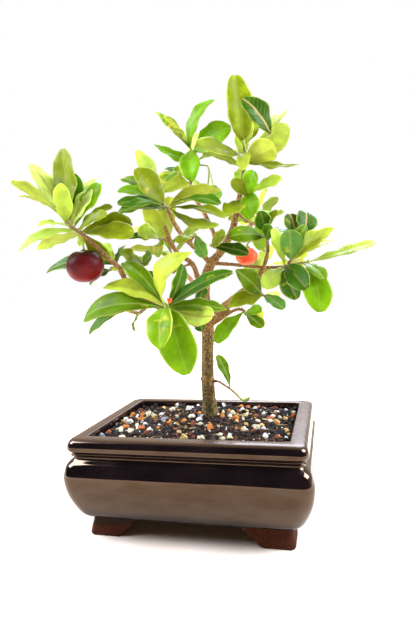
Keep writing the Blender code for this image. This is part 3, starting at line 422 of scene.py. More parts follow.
strewing = bpy.data.node_groups.new("strewing", "GeometryNodeTree")
panel = strewing.interface
panel.new_socket("Ground", in_out="INPUT", socket_type="NodeSocketGeometry")
SOCKETS = {}
for label, kind in (("Size", "Float"), ("Spacing", "Float"), ("Seed", "Int"), ("Detail", "Int"),
                    ("Narrow", "Vector"), ("Full", "Vector"), ("Tilt", "Vector"), ("Finish", "Material")):
    SOCKETS[label] = panel.new_socket(label, in_out="INPUT", socket_type="NodeSocket" + kind).identifier
panel.new_socket("Stones", in_out="OUTPUT", socket_type="NodeSocketGeometry")
given = add(strewing, "NodeGroupInput").node.outputs
bare = add(strewing, "TexNoise", {
    "Scale": 1 / (BARE_PATCH * MM), "W": given["Seed"],
}, noise_dimensions="4D")
strewn = add(strewing, "MapRange", {
    "Value": bare, "From Min": BARE_UNDER, "From Max": COVERED_OVER,
})
spots = add(strewing, "GeometryNodeDistributePointsOnFaces", {
    "Mesh": given["Ground"], "Distance Min": given["Spacing"], "Density Max": CLOSEST,
    "Density Factor": strewn, "Seed": given["Seed"],
}, distribute_method="POISSON")
lot = add(strewing, "FunctionNodeRandomValue", {"Seed": given["Seed"]}, data_type="FLOAT")
spots = add(strewing, "GeometryNodeStoreNamedAttribute", {
    "Geometry": spots, "Name": "stone", "Value": lot,
}, data_type="FLOAT", domain="POINT")
shapes = add(strewing, "GeometryNodeJoinGeometry")
for shape_number in range(STONE_SHAPES):
    ball = add(strewing, "GeometryNodeMeshIcoSphere", {"Radius": 0.5, "Subdivisions": given["Detail"]})
    position = add(strewing, "GeometryNodeInputPosition")
    broken = add(strewing, "TexNoise", {
        "Vector": position, "W": NEXT_SHAPE * shape_number, "Scale": BROKEN, "Detail": BROKEN_DETAIL,
    }, noise_dimensions="4D")
    swell = add(strewing, "Math", {0: broken, 1: CHIPPING, 2: CORE}, operation="MULTIPLY_ADD")
    chipped = add(strewing, "VectorMath", {0: position, "Scale": swell}, operation="SCALE")
    ball = add(strewing, "GeometryNodeSetPosition", {"Geometry": ball, "Position": chipped})
    ball = add(strewing, "GeometryNodeSetShadeSmooth", {"Geometry": ball, "Shade Smooth": True})
    one = add(strewing, "GeometryNodeGeometryToInstance", {0: ball})
    strewing.links.new(one, shapes.node.inputs[0])
turn = add(strewing, "FunctionNodeRandomValue", {"Max": given["Tilt"], "Seed": given["Seed"]},
           data_type="FLOAT_VECTOR")
pick = add(strewing, "FunctionNodeRandomValue", {
    "Max": STONE_SHAPES - 1, "Seed": given["Seed"],
}, data_type="INT")
squeeze = add(strewing, "FunctionNodeRandomValue", {
    "Min": given["Narrow"], "Max": given["Full"], "Seed": given["Seed"],
}, data_type="FLOAT_VECTOR")
squeeze = add(strewing, "VectorMath", {0: squeeze, "Scale": given["Size"]}, operation="SCALE")
stones = add(strewing, "GeometryNodeInstanceOnPoints", {
    "Points": spots, "Instance": shapes, "Pick Instance": True, "Instance Index": pick,
    "Rotation": turn, "Scale": squeeze,
})
stones = add(strewing, "GeometryNodeRealizeInstances", {"Geometry": stones})
stones = add(strewing, "GeometryNodeSetMaterial", {"Geometry": stones, "Material": given["Finish"]})
add(strewing, "NodeGroupOutput", {"Stones": stones})

# Crushed and sieved stone: chalky white pumice, ochre and orange grit, purple-red lava and
# slate, dull all over, pitted at a tenth of a millimetre, each stone of one colour with stains.
aggregate, tree, place = new_finish("mixed_bonsai_aggregate")
kind = add(tree, "Attribute", attribute_name="stone", out="Fac")
sort = add(tree, "ValToRGB", {"Fac": kind}, stops=[
    (0.0, "#14100d"), (0.28, "#33241b"), (0.42, "#f0ede4"), (0.54, "#e0d4b0"), (0.66, "#d2ac66"),
    (0.74, "#cf8238"), (0.79, "#b45a28"), (0.83, "#7a3c26"), (0.91, "#45231f"), (0.95, "#9aa0a2"),
    (0.975, "#c4c4bc"),
])
sort.node.color_ramp.interpolation = "CONSTANT"
stain = add(tree, "TexNoise", {"Vector": place, "Scale": 1 / (1.1 * MM), "Detail": 5.0})
stain = add(tree, "MapRange", {
    "Value": stain, "From Min": 0.3, "From Max": 0.7, "To Min": 0.55, "To Max": 1.15,
})
stone_colour = add(tree, "VectorMath", {0: sort, "Scale": stain}, operation="SCALE")
pits = add(tree, "TexNoise", {"Vector": place, "Scale": 1 / (0.35 * MM), "Detail": 3.0})
dress(tree, stone_colour, rough=0.85, shine=0.35, relief=pits, depth=0.25 * MM)

# Slivers of bark and straw lie flat in it: fibrous, grey-brown or straw-coloured, dull
splinters, tree, place = new_finish("bark_and_straw_slivers")
kind = add(tree, "Attribute", attribute_name="stone", out="Fac")
sort = add(tree, "ValToRGB", {"Fac": kind}, stops=[
    (0.0, "#1e1610"), (0.35, "#3c2a1c"), (0.6, "#5c4028"), (0.78, "#8f7440"), (0.92, "#b8a268"),
])
sort.node.color_ramp.interpolation = "CONSTANT"
fibres = add(tree, "TexNoise", {"Vector": place, "Scale": 1 / (0.4 * MM), "Detail": 4.0})
fibre = add(tree, "MapRange", {"Value": fibres, "To Min": 0.5, "To Max": 1.4})
wood_tone = add(tree, "VectorMath", {0: sort, "Scale": fibre}, operation="SCALE")
dress(tree, wood_tone, rough=0.9, shine=0.3, relief=fibres, depth=0.15 * MM)

for grade, (size, spacing, seed, detail) in GRADES.items():
    slivers = grade == "bark_slivers"
    half_x = max(p[0] for p in wall) - STREWN_INSET
    half_y = max(p[1] for p in wall) - STREWN_INSET
    ground = bmesh.new()
    bmesh.ops.create_grid(ground, x_segments=GROUND_MESH[0], y_segments=GROUND_MESH[1], size=1.0)
    for vert in ground.verts:
        x, y = vert.co.x * half_x, vert.co.y * half_y
        vert.co = Vector((x, y, soil_height(x, y) + STREWN_LIFT * size)) * MM
    ground_mesh = bpy.data.meshes.new(grade)
    ground.to_mesh(ground_mesh)
    ground.free()
    dressing = add_object(grade, ground_mesh)
    strew = dressing.modifiers.new("strewing", "NODES")
    strew.node_group = strewing
    narrow, full = SLIVER_FORM if slivers else STONE_FORM
    tilt = (SLIVER_TILT, SLIVER_TILT, math.tau) if slivers else (math.tau,) * 3
    finish = splinters if slivers else aggregate
    sizes = (size * MM, spacing * MM, seed, detail, narrow, full, tilt, finish)
    for socket, value in zip(SOCKETS.values(), sizes):
        strew[socket] = value
    applied(dressing)
    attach(dressing, "root")

# Trunk and limbs grew as one: wired when young, pruned back hard and left with swollen nodes, a
# cut knob low on the trunk and short dead twigs. The bark is thin and stays on the living wood.
# Points of each limb, from where it leaves the wood, with its radius there
WOOD_ROUTES = {
    "trunk": [
        (2, 15, 36.4, 5.0), (2, 15, 56, 5.6), (2, 15, 61.5, 5.6), (1.5, 14.5, 68, 4.9), (1, 14, 85, 4.5),
        (2, 13, 106, 4.3), (3, 12, 125, 4.3), (1.5, 11, 141, 4.2), (2, 11, 151, 4.0), (5, 11, 161, 3.5),
        (8.5, 10, 167, 3.0),
    ],
    "leader": [
        (4, 11, 160, 2.8), (8.5, 10, 167, 2.9), (15.5, 10, 174.5, 2.6), (23, 11, 187.5, 2.3),
        (26.5, 12, 201, 2.0), (29, 13, 211, 1.8), (31.5, 14, 224, 1.5),
    ],
    "upper_left_limb": [
        (8, 10, 165, 1.9), (2, 4, 173.5, 1.7), (-3, -4, 179.5, 1.6), (-7, -12, 186, 1.5),
        (-9, -19, 192.5, 1.4), (-10, -22.5, 196.8, 1.3),
    ],
    "middle_left_limb": [
        (2, 11, 150, 2.0), (-1.5, 8, 156.5, 1.8), (-4, 4, 166, 1.7), (-12, -3, 173.5, 1.5),
        (-14, -11, 181, 1.4), (-14.5, -19, 189.5, 1.2),
    ],
    "middle_left_spur": [(-14, -11, 181, 1.2), (-17.5, -14.5, 181.5, 1.1)],
    "long_left_limb": [
        (3, 12, 120, 2.2), (-6, 0, 127, 2.0), (-12, -8, 130.5, 1.9), (-18, -16, 136, 1.8),
        (-25, -24, 141.5, 1.7), (-31.5, -30, 146, 1.7), (-35.5, -34, 153, 1.6), (-39, -37, 163.5, 1.5),
        (-44, -40, 169, 1.5), (-49, -42, 174.5, 1.4), (-54.5, -44, 181, 1.4), (-57.3, -45, 183.8, 1.3),
    ],
    "front_twig": [(-17, -15, 135, 1.6), (-14, -30, 136.5, 1.4), (-8, -46, 137.5, 1.3)],
    "left_low_twig": [(-36, -34, 155, 1.3), (-40, -31, 159, 1.1), (-43, -28, 162, 1.0)],
    "limb_under_spur": [(-25, -24, 141.5, 1.2), (-29, -27, 137, 1.1)],
    "limb_top_spur": [(-33, -31, 149, 1.2), (-31, -28, 156, 1.1)],
    "right_twig": [
        (9, 10, 166, 1.4), (22.5, 8, 164.5, 1.2), (42, 2, 161.5, 1.1), (55.5, -4, 160.5, 1.1),
    ],
    "right_limb": [
        (4, 12.5, 124, 2.1), (11, 10, 130, 1.9), (24.5, 4, 140.5, 1.7), (38, -4, 151.5, 1.5),
        (45, -4, 160.5, 1.4), (47.5, 2, 171, 1.2),
    ],
    "right_low_spur": [(36, -3, 150, 1.2), (42, -8, 146, 1.1)],
    "right_under_twig": [
        (4, 12, 123, 1.6), (13, 10, 128, 1.3), (21.5, 6, 133, 1.2), (27.5, 2.6, 134.6, 1.1),
    ],
    "top_left_limb": [
        (14, 10, 173, 1.7), (10, 12, 186, 1.5), (4, 14, 199.5, 1.4), (-3, 14, 212, 1.3),
        (-5.5, 14, 221, 1.2),
    ],
    "leader_spur": [(26, 12, 199.5, 1.3), (31.5, 10.5, 204.5, 1.1)],
    "middle_spur": [(-3, -4, 179.5, 1.1), (0, -8, 182, 1.0)],
    "fork_spur": [(15.5, 10, 174.5, 1.1), (12, 4, 176.5, 1.0)],
    "trunk_spur": [(2, 11, 145, 1.2), (5, 4, 148, 1.0)],
    "trunk_low_spur": [(3, 12, 128, 1.2), (1.3, 4, 131, 1.0)],
    "knob": [(2, 14, 84, 2.2), (-3.2, 12.5, 86.5, 1.5)],
    "low_stub": [(2, 14, 84.5, 1.7), (8.6, 12, 84.6, 1.1)],
    "back_left_limb": [(2, 12, 140, 2.0), (-8, 24, 152, 1.7), (-20, 36, 163, 1.4), (-27, 42, 170, 1.2)],
    "back_right_limb": [(19, 11, 181, 1.8), (27, 24, 188, 1.5), (34, 36, 194, 1.2)],
    "back_top_limb": [(29, 13, 211, 1.4), (31, 23, 221, 1.2), (29, 32, 230, 1.1)],
    "back_low_limb": [(3, 12, 129, 1.8), (12, 26, 137, 1.5), (21, 37, 145, 1.2)],
    "dead_twig_left": [(-4, 4, 166, 0.9), (-10, -2, 164, 0.8), (-15, -6, 160, 0.7)],
    "dead_twig_right": [(26.5, 12, 200, 0.9), (33, 8, 193, 0.8), (38, 6, 190, 0.7)],
}
WOOD_SIDES = 18
WOOD_STEP = 1.6
NODE_SPACING = 9.5
NODE_SWELL = 0.13
NODE_SHARPNESS = 6.0
GRAIN_SIZE = 0.5  # the mesh of the joined wood
BARK_RELIEF = 0.34
BARK_WIDTH = 1.5
BARK_STRETCH = 0.4  # ridges run along the trunk
BARK_FULL_GIRTH = 4.5
BARK_NOISE = (0.6, 2.0, 3)  # roughness, lacunarity and octaves
EASING, EASING_ROUNDS = 0.5, 6
END_DOME = (0.45, 0.6)  # length and last girth of a stem's rounded end, as shares of its radius


class Growth:
    """Points and faces of living pieces, with what their finish reads at each point."""

    KINDS = {1: ("FLOAT", "value"), 3: ("FLOAT_VECTOR", "vector"), 4: ("FLOAT_COLOR", "color")}

    def __init__(self, *notes):
        self.points = []
        self.faces = []
        self.slots = []
        self.maps = []
        self.notes = {name: [] for name in notes}

    def point(self, place, **values):
        self.points.append(place * MM)
        for name, kept in self.notes.items():
            kept.append(values[name])
        return len(self.points) - 1

    def face(self, corners, slot=0, uv=None):
        self.faces.append(corners)
        self.slots.append(slot)
        self.maps += uv or [(0.0, 0.0)] * len(corners)

    def grown(self, name, *finishes):
        mesh = bpy.data.meshes.new(name)
        mesh.from_pydata(self.points, [], self.faces)
        mesh.polygons.foreach_set("material_index", self.slots)
        mesh.shade_smooth()
        spread = mesh.uv_layers.new(name="spread")
        spread.data.foreach_set("uv", [c for pair in self.maps for c in pair])
        for note, kept in self.notes.items():
            flat = [c for value in kept for c in (value if isinstance(value, tuple) else [value])]
            kind, field = self.KINDS[len(flat) // len(kept)]
            mesh.attributes.new(note, kind, "POINT").data.foreach_set(field, flat)
        return add_object(name, mesh, *finishes)


def smooth_route(points, spacing):
    """Points at an even spacing on a smooth curve through the given ones; radii follow along."""
    values = [Vector(p) for p in points]
    return through(values, lambda a, b: max(1, round((b - a).to_3d().length / spacing)))


def tube(growth, route, sides, slot=0, **values):
    """A round stem along a route of points with radii, closed by a small dome at each end."""
    middles = [p.to_3d() for p in route]
    way = (middles[1] - middles[0]).normalized()
    side = way.orthogonal().normalized()
    rings = []
    for i, point in enumerate(route):
        way = (middles[min(i + 1, len(route) - 1)] - middles[max(i - 1, 0)]).normalized()
        side = (side - side.project(way)).normalized()
        across = way.cross(side)
        reach, last = (share * point.w for share in END_DOME)
        spots = [(0.0, point.w)]
        if i == 0:
            spots = [(-reach, last), *spots]
        if i == len(route) - 1:
            spots.append((reach, last))
        for shift, radius in spots:
            ring = []
            for k in range(sides):
                angle = math.tau * k / sides
                out = side * math.cos(angle) + across * math.sin(angle)
                if "grown" in growth.notes:
                    values["grown"] = i / (len(route) - 1)
                ring.append(growth.point(middles[i] + way * shift + out * radius, **values))
            rings.append(ring)
    growth.face(tuple(reversed(rings[0])), slot)
    growth.face(tuple(rings[-1]), slot)
    for low, high in zip(rings, rings[1:]):
        for k in range(sides):
            j = (k + 1) % sides
            growth.face((low[k], low[j], high[j], high[k]), slot)


wood = Growth()
walks = {name: smooth_route(points, WOOD_STEP) for name, points in WOOD_ROUTES.items()}
girths = kdtree.KDTree(sum(map(len, walks.values())))
radii = []
for name, route in walks.items():
    walked = 0.0
    for i, point in enumerate(route):
        walked += (point - route[i - 1]).to_3d().length if i else 0.0
        if name != "trunk":
            beat = math.cos(math.pi * walked / NODE_SPACING) ** 2
            point.w *= 1 + NODE_SWELL * beat ** NODE_SHARPNESS
        girths.insert(point.to_3d(), len(radii))
        radii.append(point.w)
    tube(wood, route, WOOD_SIDES)
girths.balance()
wood = wood.grown("trunk_and_limbs_in_bark")
knit = wood.modifiers.new("knit", "REMESH")
knit.mode = "VOXEL"
knit.voxel_size = GRAIN_SIZE * MM
knit.adaptivity = 0.0
eased = wood.modifiers.new("eased", "SMOOTH")
eased.factor = EASING
eased.iterations = EASING_ROUNDS
applied(wood)
girth = []
for vert, normal in zip(wood.data.vertices, [n.vector.copy() for n in wood.data.vertex_normals]):
    place = vert.co / MM
    radius = radii[girths.find(place)[1]]
    girth.append(radius)
    stretched = Vector((place.x, place.y, place.z * BARK_STRETCH)) / BARK_WIDTH
    ridges = noise.fractal(stretched, *BARK_NOISE)
    vert.co += normal * (ridges * BARK_RELIEF * min(1.0, radius / BARK_FULL_GIRTH) * MM)
wood.data.attributes.new("girth", "FLOAT", "POINT").data.foreach_set("value", girth)
wood.data.shade_smooth()

# Thin living bark: grey-brown and finely ridged on the trunk, warmer and smoother on the limbs,
# with pale corky lenticels under a millimetre wide and a film of green algae near the soil
FILM_TOP, FILM_FULL = 128, 66
bark, tree, place = new_finish("lenticelled_bark")
thick = add(tree, "Attribute", attribute_name="girth", out="Fac")
age = add(tree, "MapRange", {"Value": thick, "From Min": 1.6, "From Max": 4.0})
stretch = add(tree, "Mapping", {"Vector": place, "Scale": (1, 1, 0.6)})
streaks = add(tree, "TexNoise", {"Vector": stretch, "Scale": 1 / (0.9 * MM), "Detail": 6.0})
old = add(tree, "ValToRGB", {"Fac": streaks}, stops=[
    (0.36, "#33260f"), (0.5, "#634d28"), (0.64, "#8e7445"),
])
young = add(tree, "ValToRGB", {"Fac": streaks}, stops=[
    (0.34, "#553a22"), (0.5, "#896338"), (0.66, "#ac8550"),
])
skin = add(tree, "Mix", {"Factor": age, "A": young, "B": old}, data_type="RGBA")
spots = add(tree, "TexVoronoi", {"Vector": place, "Scale": 1 / (0.9 * MM)})
cork = add(tree, "MapRange", {"Value": spots, "From Min": 0.34, "From Max": 0.2})
skin = add(tree, "Mix", {"Factor": cork, "A": skin, "B": colour("#c9a566")}, data_type="RGBA")
up = add(tree, "SeparateXYZ", {"Vector": place}, out="Z")
low = add(tree, "MapRange", {"Value": up, "From Min": FILM_TOP * MM, "From Max": FILM_FULL * MM})
film = add(tree, "TexNoise", {"Vector": place, "Scale": 1 / (4.5 * MM), "Detail": 4.0})
film = add(tree, "MapRange", {"Value": film, "From Min": 0.36, "From Max": 0.62})
film = add(tree, "Math", {0: film, 1: low}, operation="MULTIPLY")
film = add(tree, "Math", {0: film, 1: 0.92}, operation="MULTIPLY")
green = add(tree, "ValToRGB", {"Fac": streaks}, stops=[(0.36, "#25270e"), (0.64, "#59562a")])
skin = add(tree, "Mix", {"Factor": film, "A": skin, "B": green}, data_type="RGBA")
fine = add(tree, "TexNoise", {"Vector": stretch, "Scale": 1 / (0.6 * MM), "Detail": 5.0})
raised = add(tree, "Math", {0: cork, 1: 0.6, 2: fine}, operation="MULTIPLY_ADD")
dress(tree, skin, rough=0.8, shine=0.3, relief=raised, depth=0.22 * MM)
wood.data.materials.append(bark)
stands_for(wood, "bark", "trunk_and_limbs")

# Leafy stems: green shoots of this year with their leaves. A blade is a thin firm obovate sheet
# on a short petiole, folded a little along its midrib, wavy at the edge, often notched at its
# tip. New leaves are yellow-green; with age they turn deep green above and stay pale beneath.
# The far side grows by a rule. Name: the stem's points with radii, leaves, their length, seed
BACK_STEMS = {
    "back_left": ([(-27.4, 42.4, 170.4, 1.2), (-32, 47, 177, 1.1), (-36, 51, 188, 0.9)], 8, 36, 3),
    "back_right": ([(34.3, 36.6, 194.2, 1.2), (36, 44, 196, 1.1), (36, 53, 202, 0.9)], 7, 30, 4),
    "back_top": ([(28.8, 32.6, 230.6, 1.1), (28, 38, 235, 1.0), (30, 45, 241, 0.8)], 6, 28, 17),
    "back_low": ([(21.3, 37.6, 145.3, 1.2), (27, 44, 150, 1.1), (32, 52, 159, 0.9)], 7, 34, 13),
}
BACK_AGES = ("grown", "old", "fresh", "olive", "grown", "young", "new")
GOLDEN_ANGLE = math.radians(137.5)
BACK_BLADE_SHAPE = 0.42
BACK_FIRST, BACK_SPAN = 0.12, 0.84  # where on the stem the leaves stand
BACK_TILT, BACK_RISE, BACK_SWAY = 75, 45, 8  # degrees: at the foot, less towards the tip, at random
BACK_LENGTHS = (0.8, 1.1)
BACK_ARCH = (0.04, 0.1)
BACK_LOOKS, BACK_LOOKS_ON = Vector((0, 0.2, 1)), 0.5
# Form of a blade: where it is widest as a share of its length, and how it tapers to foot and tip
BLADE_FORMS = {
    "obovate": (0.68, 1.3, 0.6),
    "oval": (0.59, 1.0, 0.7),
    "pointed": (0.5, 1.0, 1.0),
    "full": (0.5, 0.5, 0.5),
}
TIP_END = 0.985
BLADE_ROWS = 18
ROW_CROWDING = 1.35  # rows lie closer towards the tip
BLADE_COLUMNS = (-1.0, -0.9, -0.66, -0.36, -0.1, 0.1, 0.36, 0.66, 0.9, 1.0)
BLADE_HALF_THICKNESS = 0.22
RIM_THINNING = 1.5
RIB_DEPTH, RIB_HALF_WIDTH = 0.28, 0.8
PETIOLE_HALF_WIDTH = 0.5
PETIOLE_END = 0.1
PETIOLE_MORE_THICK = 0.3
# The fold along the midrib, then waves: how high or wide, and their turn over the blade's length
BLADE_FOLD, FOLD_ROUNDING = 0.16, 0.1
BLADE_WAVE, WAVE_TURN = 0.5, 9.0
RIPPLE, RIPPLE_TURN, RIPPLE_SHIFT = 0.65, 19, 2.4
EDGE_WAVE, EDGE_TURN = 0.07, 8
WAVE_STARTS = (0, 9)
UNEVEN = 0.09  # how much wider one half may be than the other
BULGE = 0.06
CURL, CURL_START, CURL_RISE = (-0.02, 0.05), 0.7, 11
NOTCHES = (0.0, 0.0, 0.0, 0.015)  # one leaf in four is notched at its tip
NOTCH_WIDTH, NOTCH_START = 0.4, 0.8
PUCKER_LENGTH, PUCKER_WIDTH, PUCKER_SHIFT = 6, 5, 7
SHOOT_STEP = 1.5
SHOOT_SIDES = 12
SHOOT_BEADS, BEAD_TURN = 0.08, 2.2
LAST_LEAF = 0.96  # share of a stem past which no leaf springs
MEASURE_STEP = 2
# Age: upper face, under face, midrib and how much it shows, patches, margin, crumple in mm
AGES = {
    "new": ("#b7c63c", "#c4cc50", "#d8de84", 0.15, 0.0, 0.4, 0.5),
    "young": ("#bcd452", "#cdda6c", "#ccd67c", 0.15, 0.0, 0.6, 0.5),
    "fresh": ("#80b010", "#a2c636", "#c2d27a", 0.15, 0.0, 0.5, 0.7),
    "grown": ("#678b04", "#9aa929", "#b4c46c", 0.35, 0.05, 0.45, 0.7),
    "old": ("#3f7101", "#8ca537", "#b39a62", 0.35, 0.05, 0.5, 0.7),
    "ribbed": ("#3c6a08", "#8ca537", "#c8aa6e", 0.9, 0.05, 0.5, 0.7),
    "glaucous": ("#6a9f45", "#9ebe73", "#b9b46c", 0.4, 0.0, 0.4, 0.4),
    "olive": ("#8b9b16", "#a8b838", "#b9b060", 0.15, 0.08, 0.6, 0.7),
    "mottled": ("#6c9e1c", "#9cb446", "#b9c470", 0.3, 0.62, 0.9, 0.9),
    "sallow": ("#d2e47a", "#d8e88c", "#b4a060", 0.5, 0.0, 0.4, 0.5),
    "edged": ("#34600c", "#7b8a36", "#b9c470", 0.3, 0.15, 1.0, 0.7),
    "crumpled": ("#7ca50b", "#acb72b", "#d2dc80", 0.3, 0.25, 1.0, 1.1),
}
LEAF_SHADES = (0.86, 1.12)  # how far one leaf of an age is darker or lighter than the next


def blade_outline(u, form):
    """Half of the blade's width at u, from its foot at 0 to its tip at 1, as a share."""
    widest, foot_taper, tip_taper = BLADE_FORMS[form]
    return (u / widest) ** foot_taper * ((1 - u) / (1 - widest)) ** tip_taper


def leaf(growth, foot, tip, width, face, arch, form, age, number, dice):
    """A blade from its foot on the stem to its tip, closed at the rim, with its petiole."""
    axis = tip - foot
    length = axis.length
    axis.normalize()
    side = axis.cross(face).normalized()
    upper, under, midrib, ribs, patches, margin, crumple = AGES[age]
    shade = dice.uniform(*LEAF_SHADES)
    notes = {"patches": patches, "margin": margin, "midrib": colour(midrib), "ribs": ribs, "grown": 1.0}
    for skin, tone in (("upper", upper), ("under", under)):
        notes[skin] = (*[channel * shade for channel in colour(tone)[:3]], 1.0)
    notch = 0.0 if form == "pointed" else dice.choice(NOTCHES)
    start = dice.uniform(*WAVE_STARTS)
    curl = dice.uniform(*CURL)
    uneven = dice.uniform(-UNEVEN, UNEVEN)
    sheets = ([], [])
    for row in range(BLADE_ROWS + 1):
        u = TIP_END * (1 - (1 - row / BLADE_ROWS) ** ROW_CROWDING)
        belly = 4 * u * (1 - u)
        outline = width / 2 * blade_outline(u, form) if u else 0.0
        thick = BLADE_HALF_THICKNESS + PETIOLE_MORE_THICK * max(0.0, 1 - u / PETIOLE_END)
        bent = curl * length * max(0.0, u - CURL_START) ** 2 * CURL_RISE
        for sheet in sheets:
            sheet.append([])
        for v in BLADE_COLUMNS:
            half_side = math.copysign(1, v)
            swell = EDGE_WAVE * math.sin(EDGE_TURN * u + start + 2 * v) + uneven * half_side
            half = max(PETIOLE_HALF_WIDTH, outline * (1 + swell * belly))
            wave = BLADE_WAVE * math.sin(number + WAVE_TURN * u + half_side)
            wave += RIPPLE * math.sin(RIPPLE_SHIFT * number + RIPPLE_TURN * u + 2 * v) * v * v
            folded = math.hypot(v, FOLD_ROUNDING) - FOLD_ROUNDING
            lift = folded * (BLADE_FOLD * half + wave * belly)
            bulge = BULGE * half * math.sin(math.pi * abs(v))
            spot = Vector((u * length / PUCKER_LENGTH, v * half / PUCKER_WIDTH, start * PUCKER_SHIFT))
            pucker = crumple * noise.noise(spot) * belly
            near_tip = max(0.0, (u - NOTCH_START) / (1 - NOTCH_START))
            dip = notch * length * math.exp(-((v / NOTCH_WIDTH) ** 2)) * near_tip ** 2
            place = foot + axis * (length * u - dip) + side * (half * v)
            place += face * (arch * length * belly + lift + bulge - bent + pucker)
            notes["blade"] = (length * u, half * v, abs(v))
            if abs(v) == 1 or row in (0, BLADE_ROWS):
                rim = growth.point(place, **notes)
                sheets[0][-1].append(rim)
                sheets[1][-1].append(rim)
            else:
                half_thick = thick * min(1.0, math.sqrt(1 - v * v) * RIM_THINNING)
                rib = RIB_DEPTH * (1 - u) * max(0.0, 1 - abs(v) * half / RIB_HALF_WIDTH)
                sheets[0][-1].append(growth.point(place + face * half_thick, **notes))
                sheets[1][-1].append(growth.point(place - face * (half_thick + rib), **notes))
    for slot, sheet in enumerate(sheets):
        for row in range(BLADE_ROWS):
            for i in range(len(BLADE_COLUMNS) - 1):
                corners = [(row, i), (row, i + 1), (row + 1, i + 1), (row + 1, i)]
                if slot == 0:
                    corners.reverse()
                spread = [(r / BLADE_ROWS, (BLADE_COLUMNS[c] + 1) / 2) for r, c in corners]
                growth.face(tuple(sheet[r][c] for r, c in corners), slot, spread)


def along_stem(points, share):
    """The place at a share of a stem's length."""
    places = [p.to_3d() for p in smooth_route(points, MEASURE_STEP)]
    reach = sum((b - a).length for a, b in zip(places, places[1:])) * share
    for a, b in zip(places, places[1:]):
        step = (b - a).length
        if reach <= step:
            return a.lerp(b, reach / step)
        reach -= step
    return places[-1]


def rule_leaves(points, count, length, seed):
    """Leaves in a spiral up the stem, each a golden angle on, tilted out and looking up."""
    dice = random.Random(seed)
    grows = (Vector(points[-1][:3]) - Vector(points[0][:3])).normalized()
    side = grows.orthogonal().normalized()
    for number in range(count):
        share = BACK_FIRST + BACK_SPAN * number / (count - 1)
        foot = along_stem(points, share)
        out = Matrix.Rotation(number * GOLDEN_ANGLE + seed, 3, grows) @ side
        tilt = math.radians(BACK_TILT - BACK_RISE * share + dice.uniform(-BACK_SWAY, BACK_SWAY))
        way = grows * math.cos(tilt) + out * math.sin(tilt)
        reach = length * dice.uniform(*BACK_LENGTHS)
        looks = BACK_LOOKS + grows * BACK_LOOKS_ON
        face = (looks - looks.project(way)).normalized()
        width = reach * BACK_BLADE_SHAPE
        arch = dice.uniform(*BACK_ARCH)
        yield foot, foot + way * reach, width, face, arch, "obovate", BACK_AGES[number % len(BACK_AGES)]
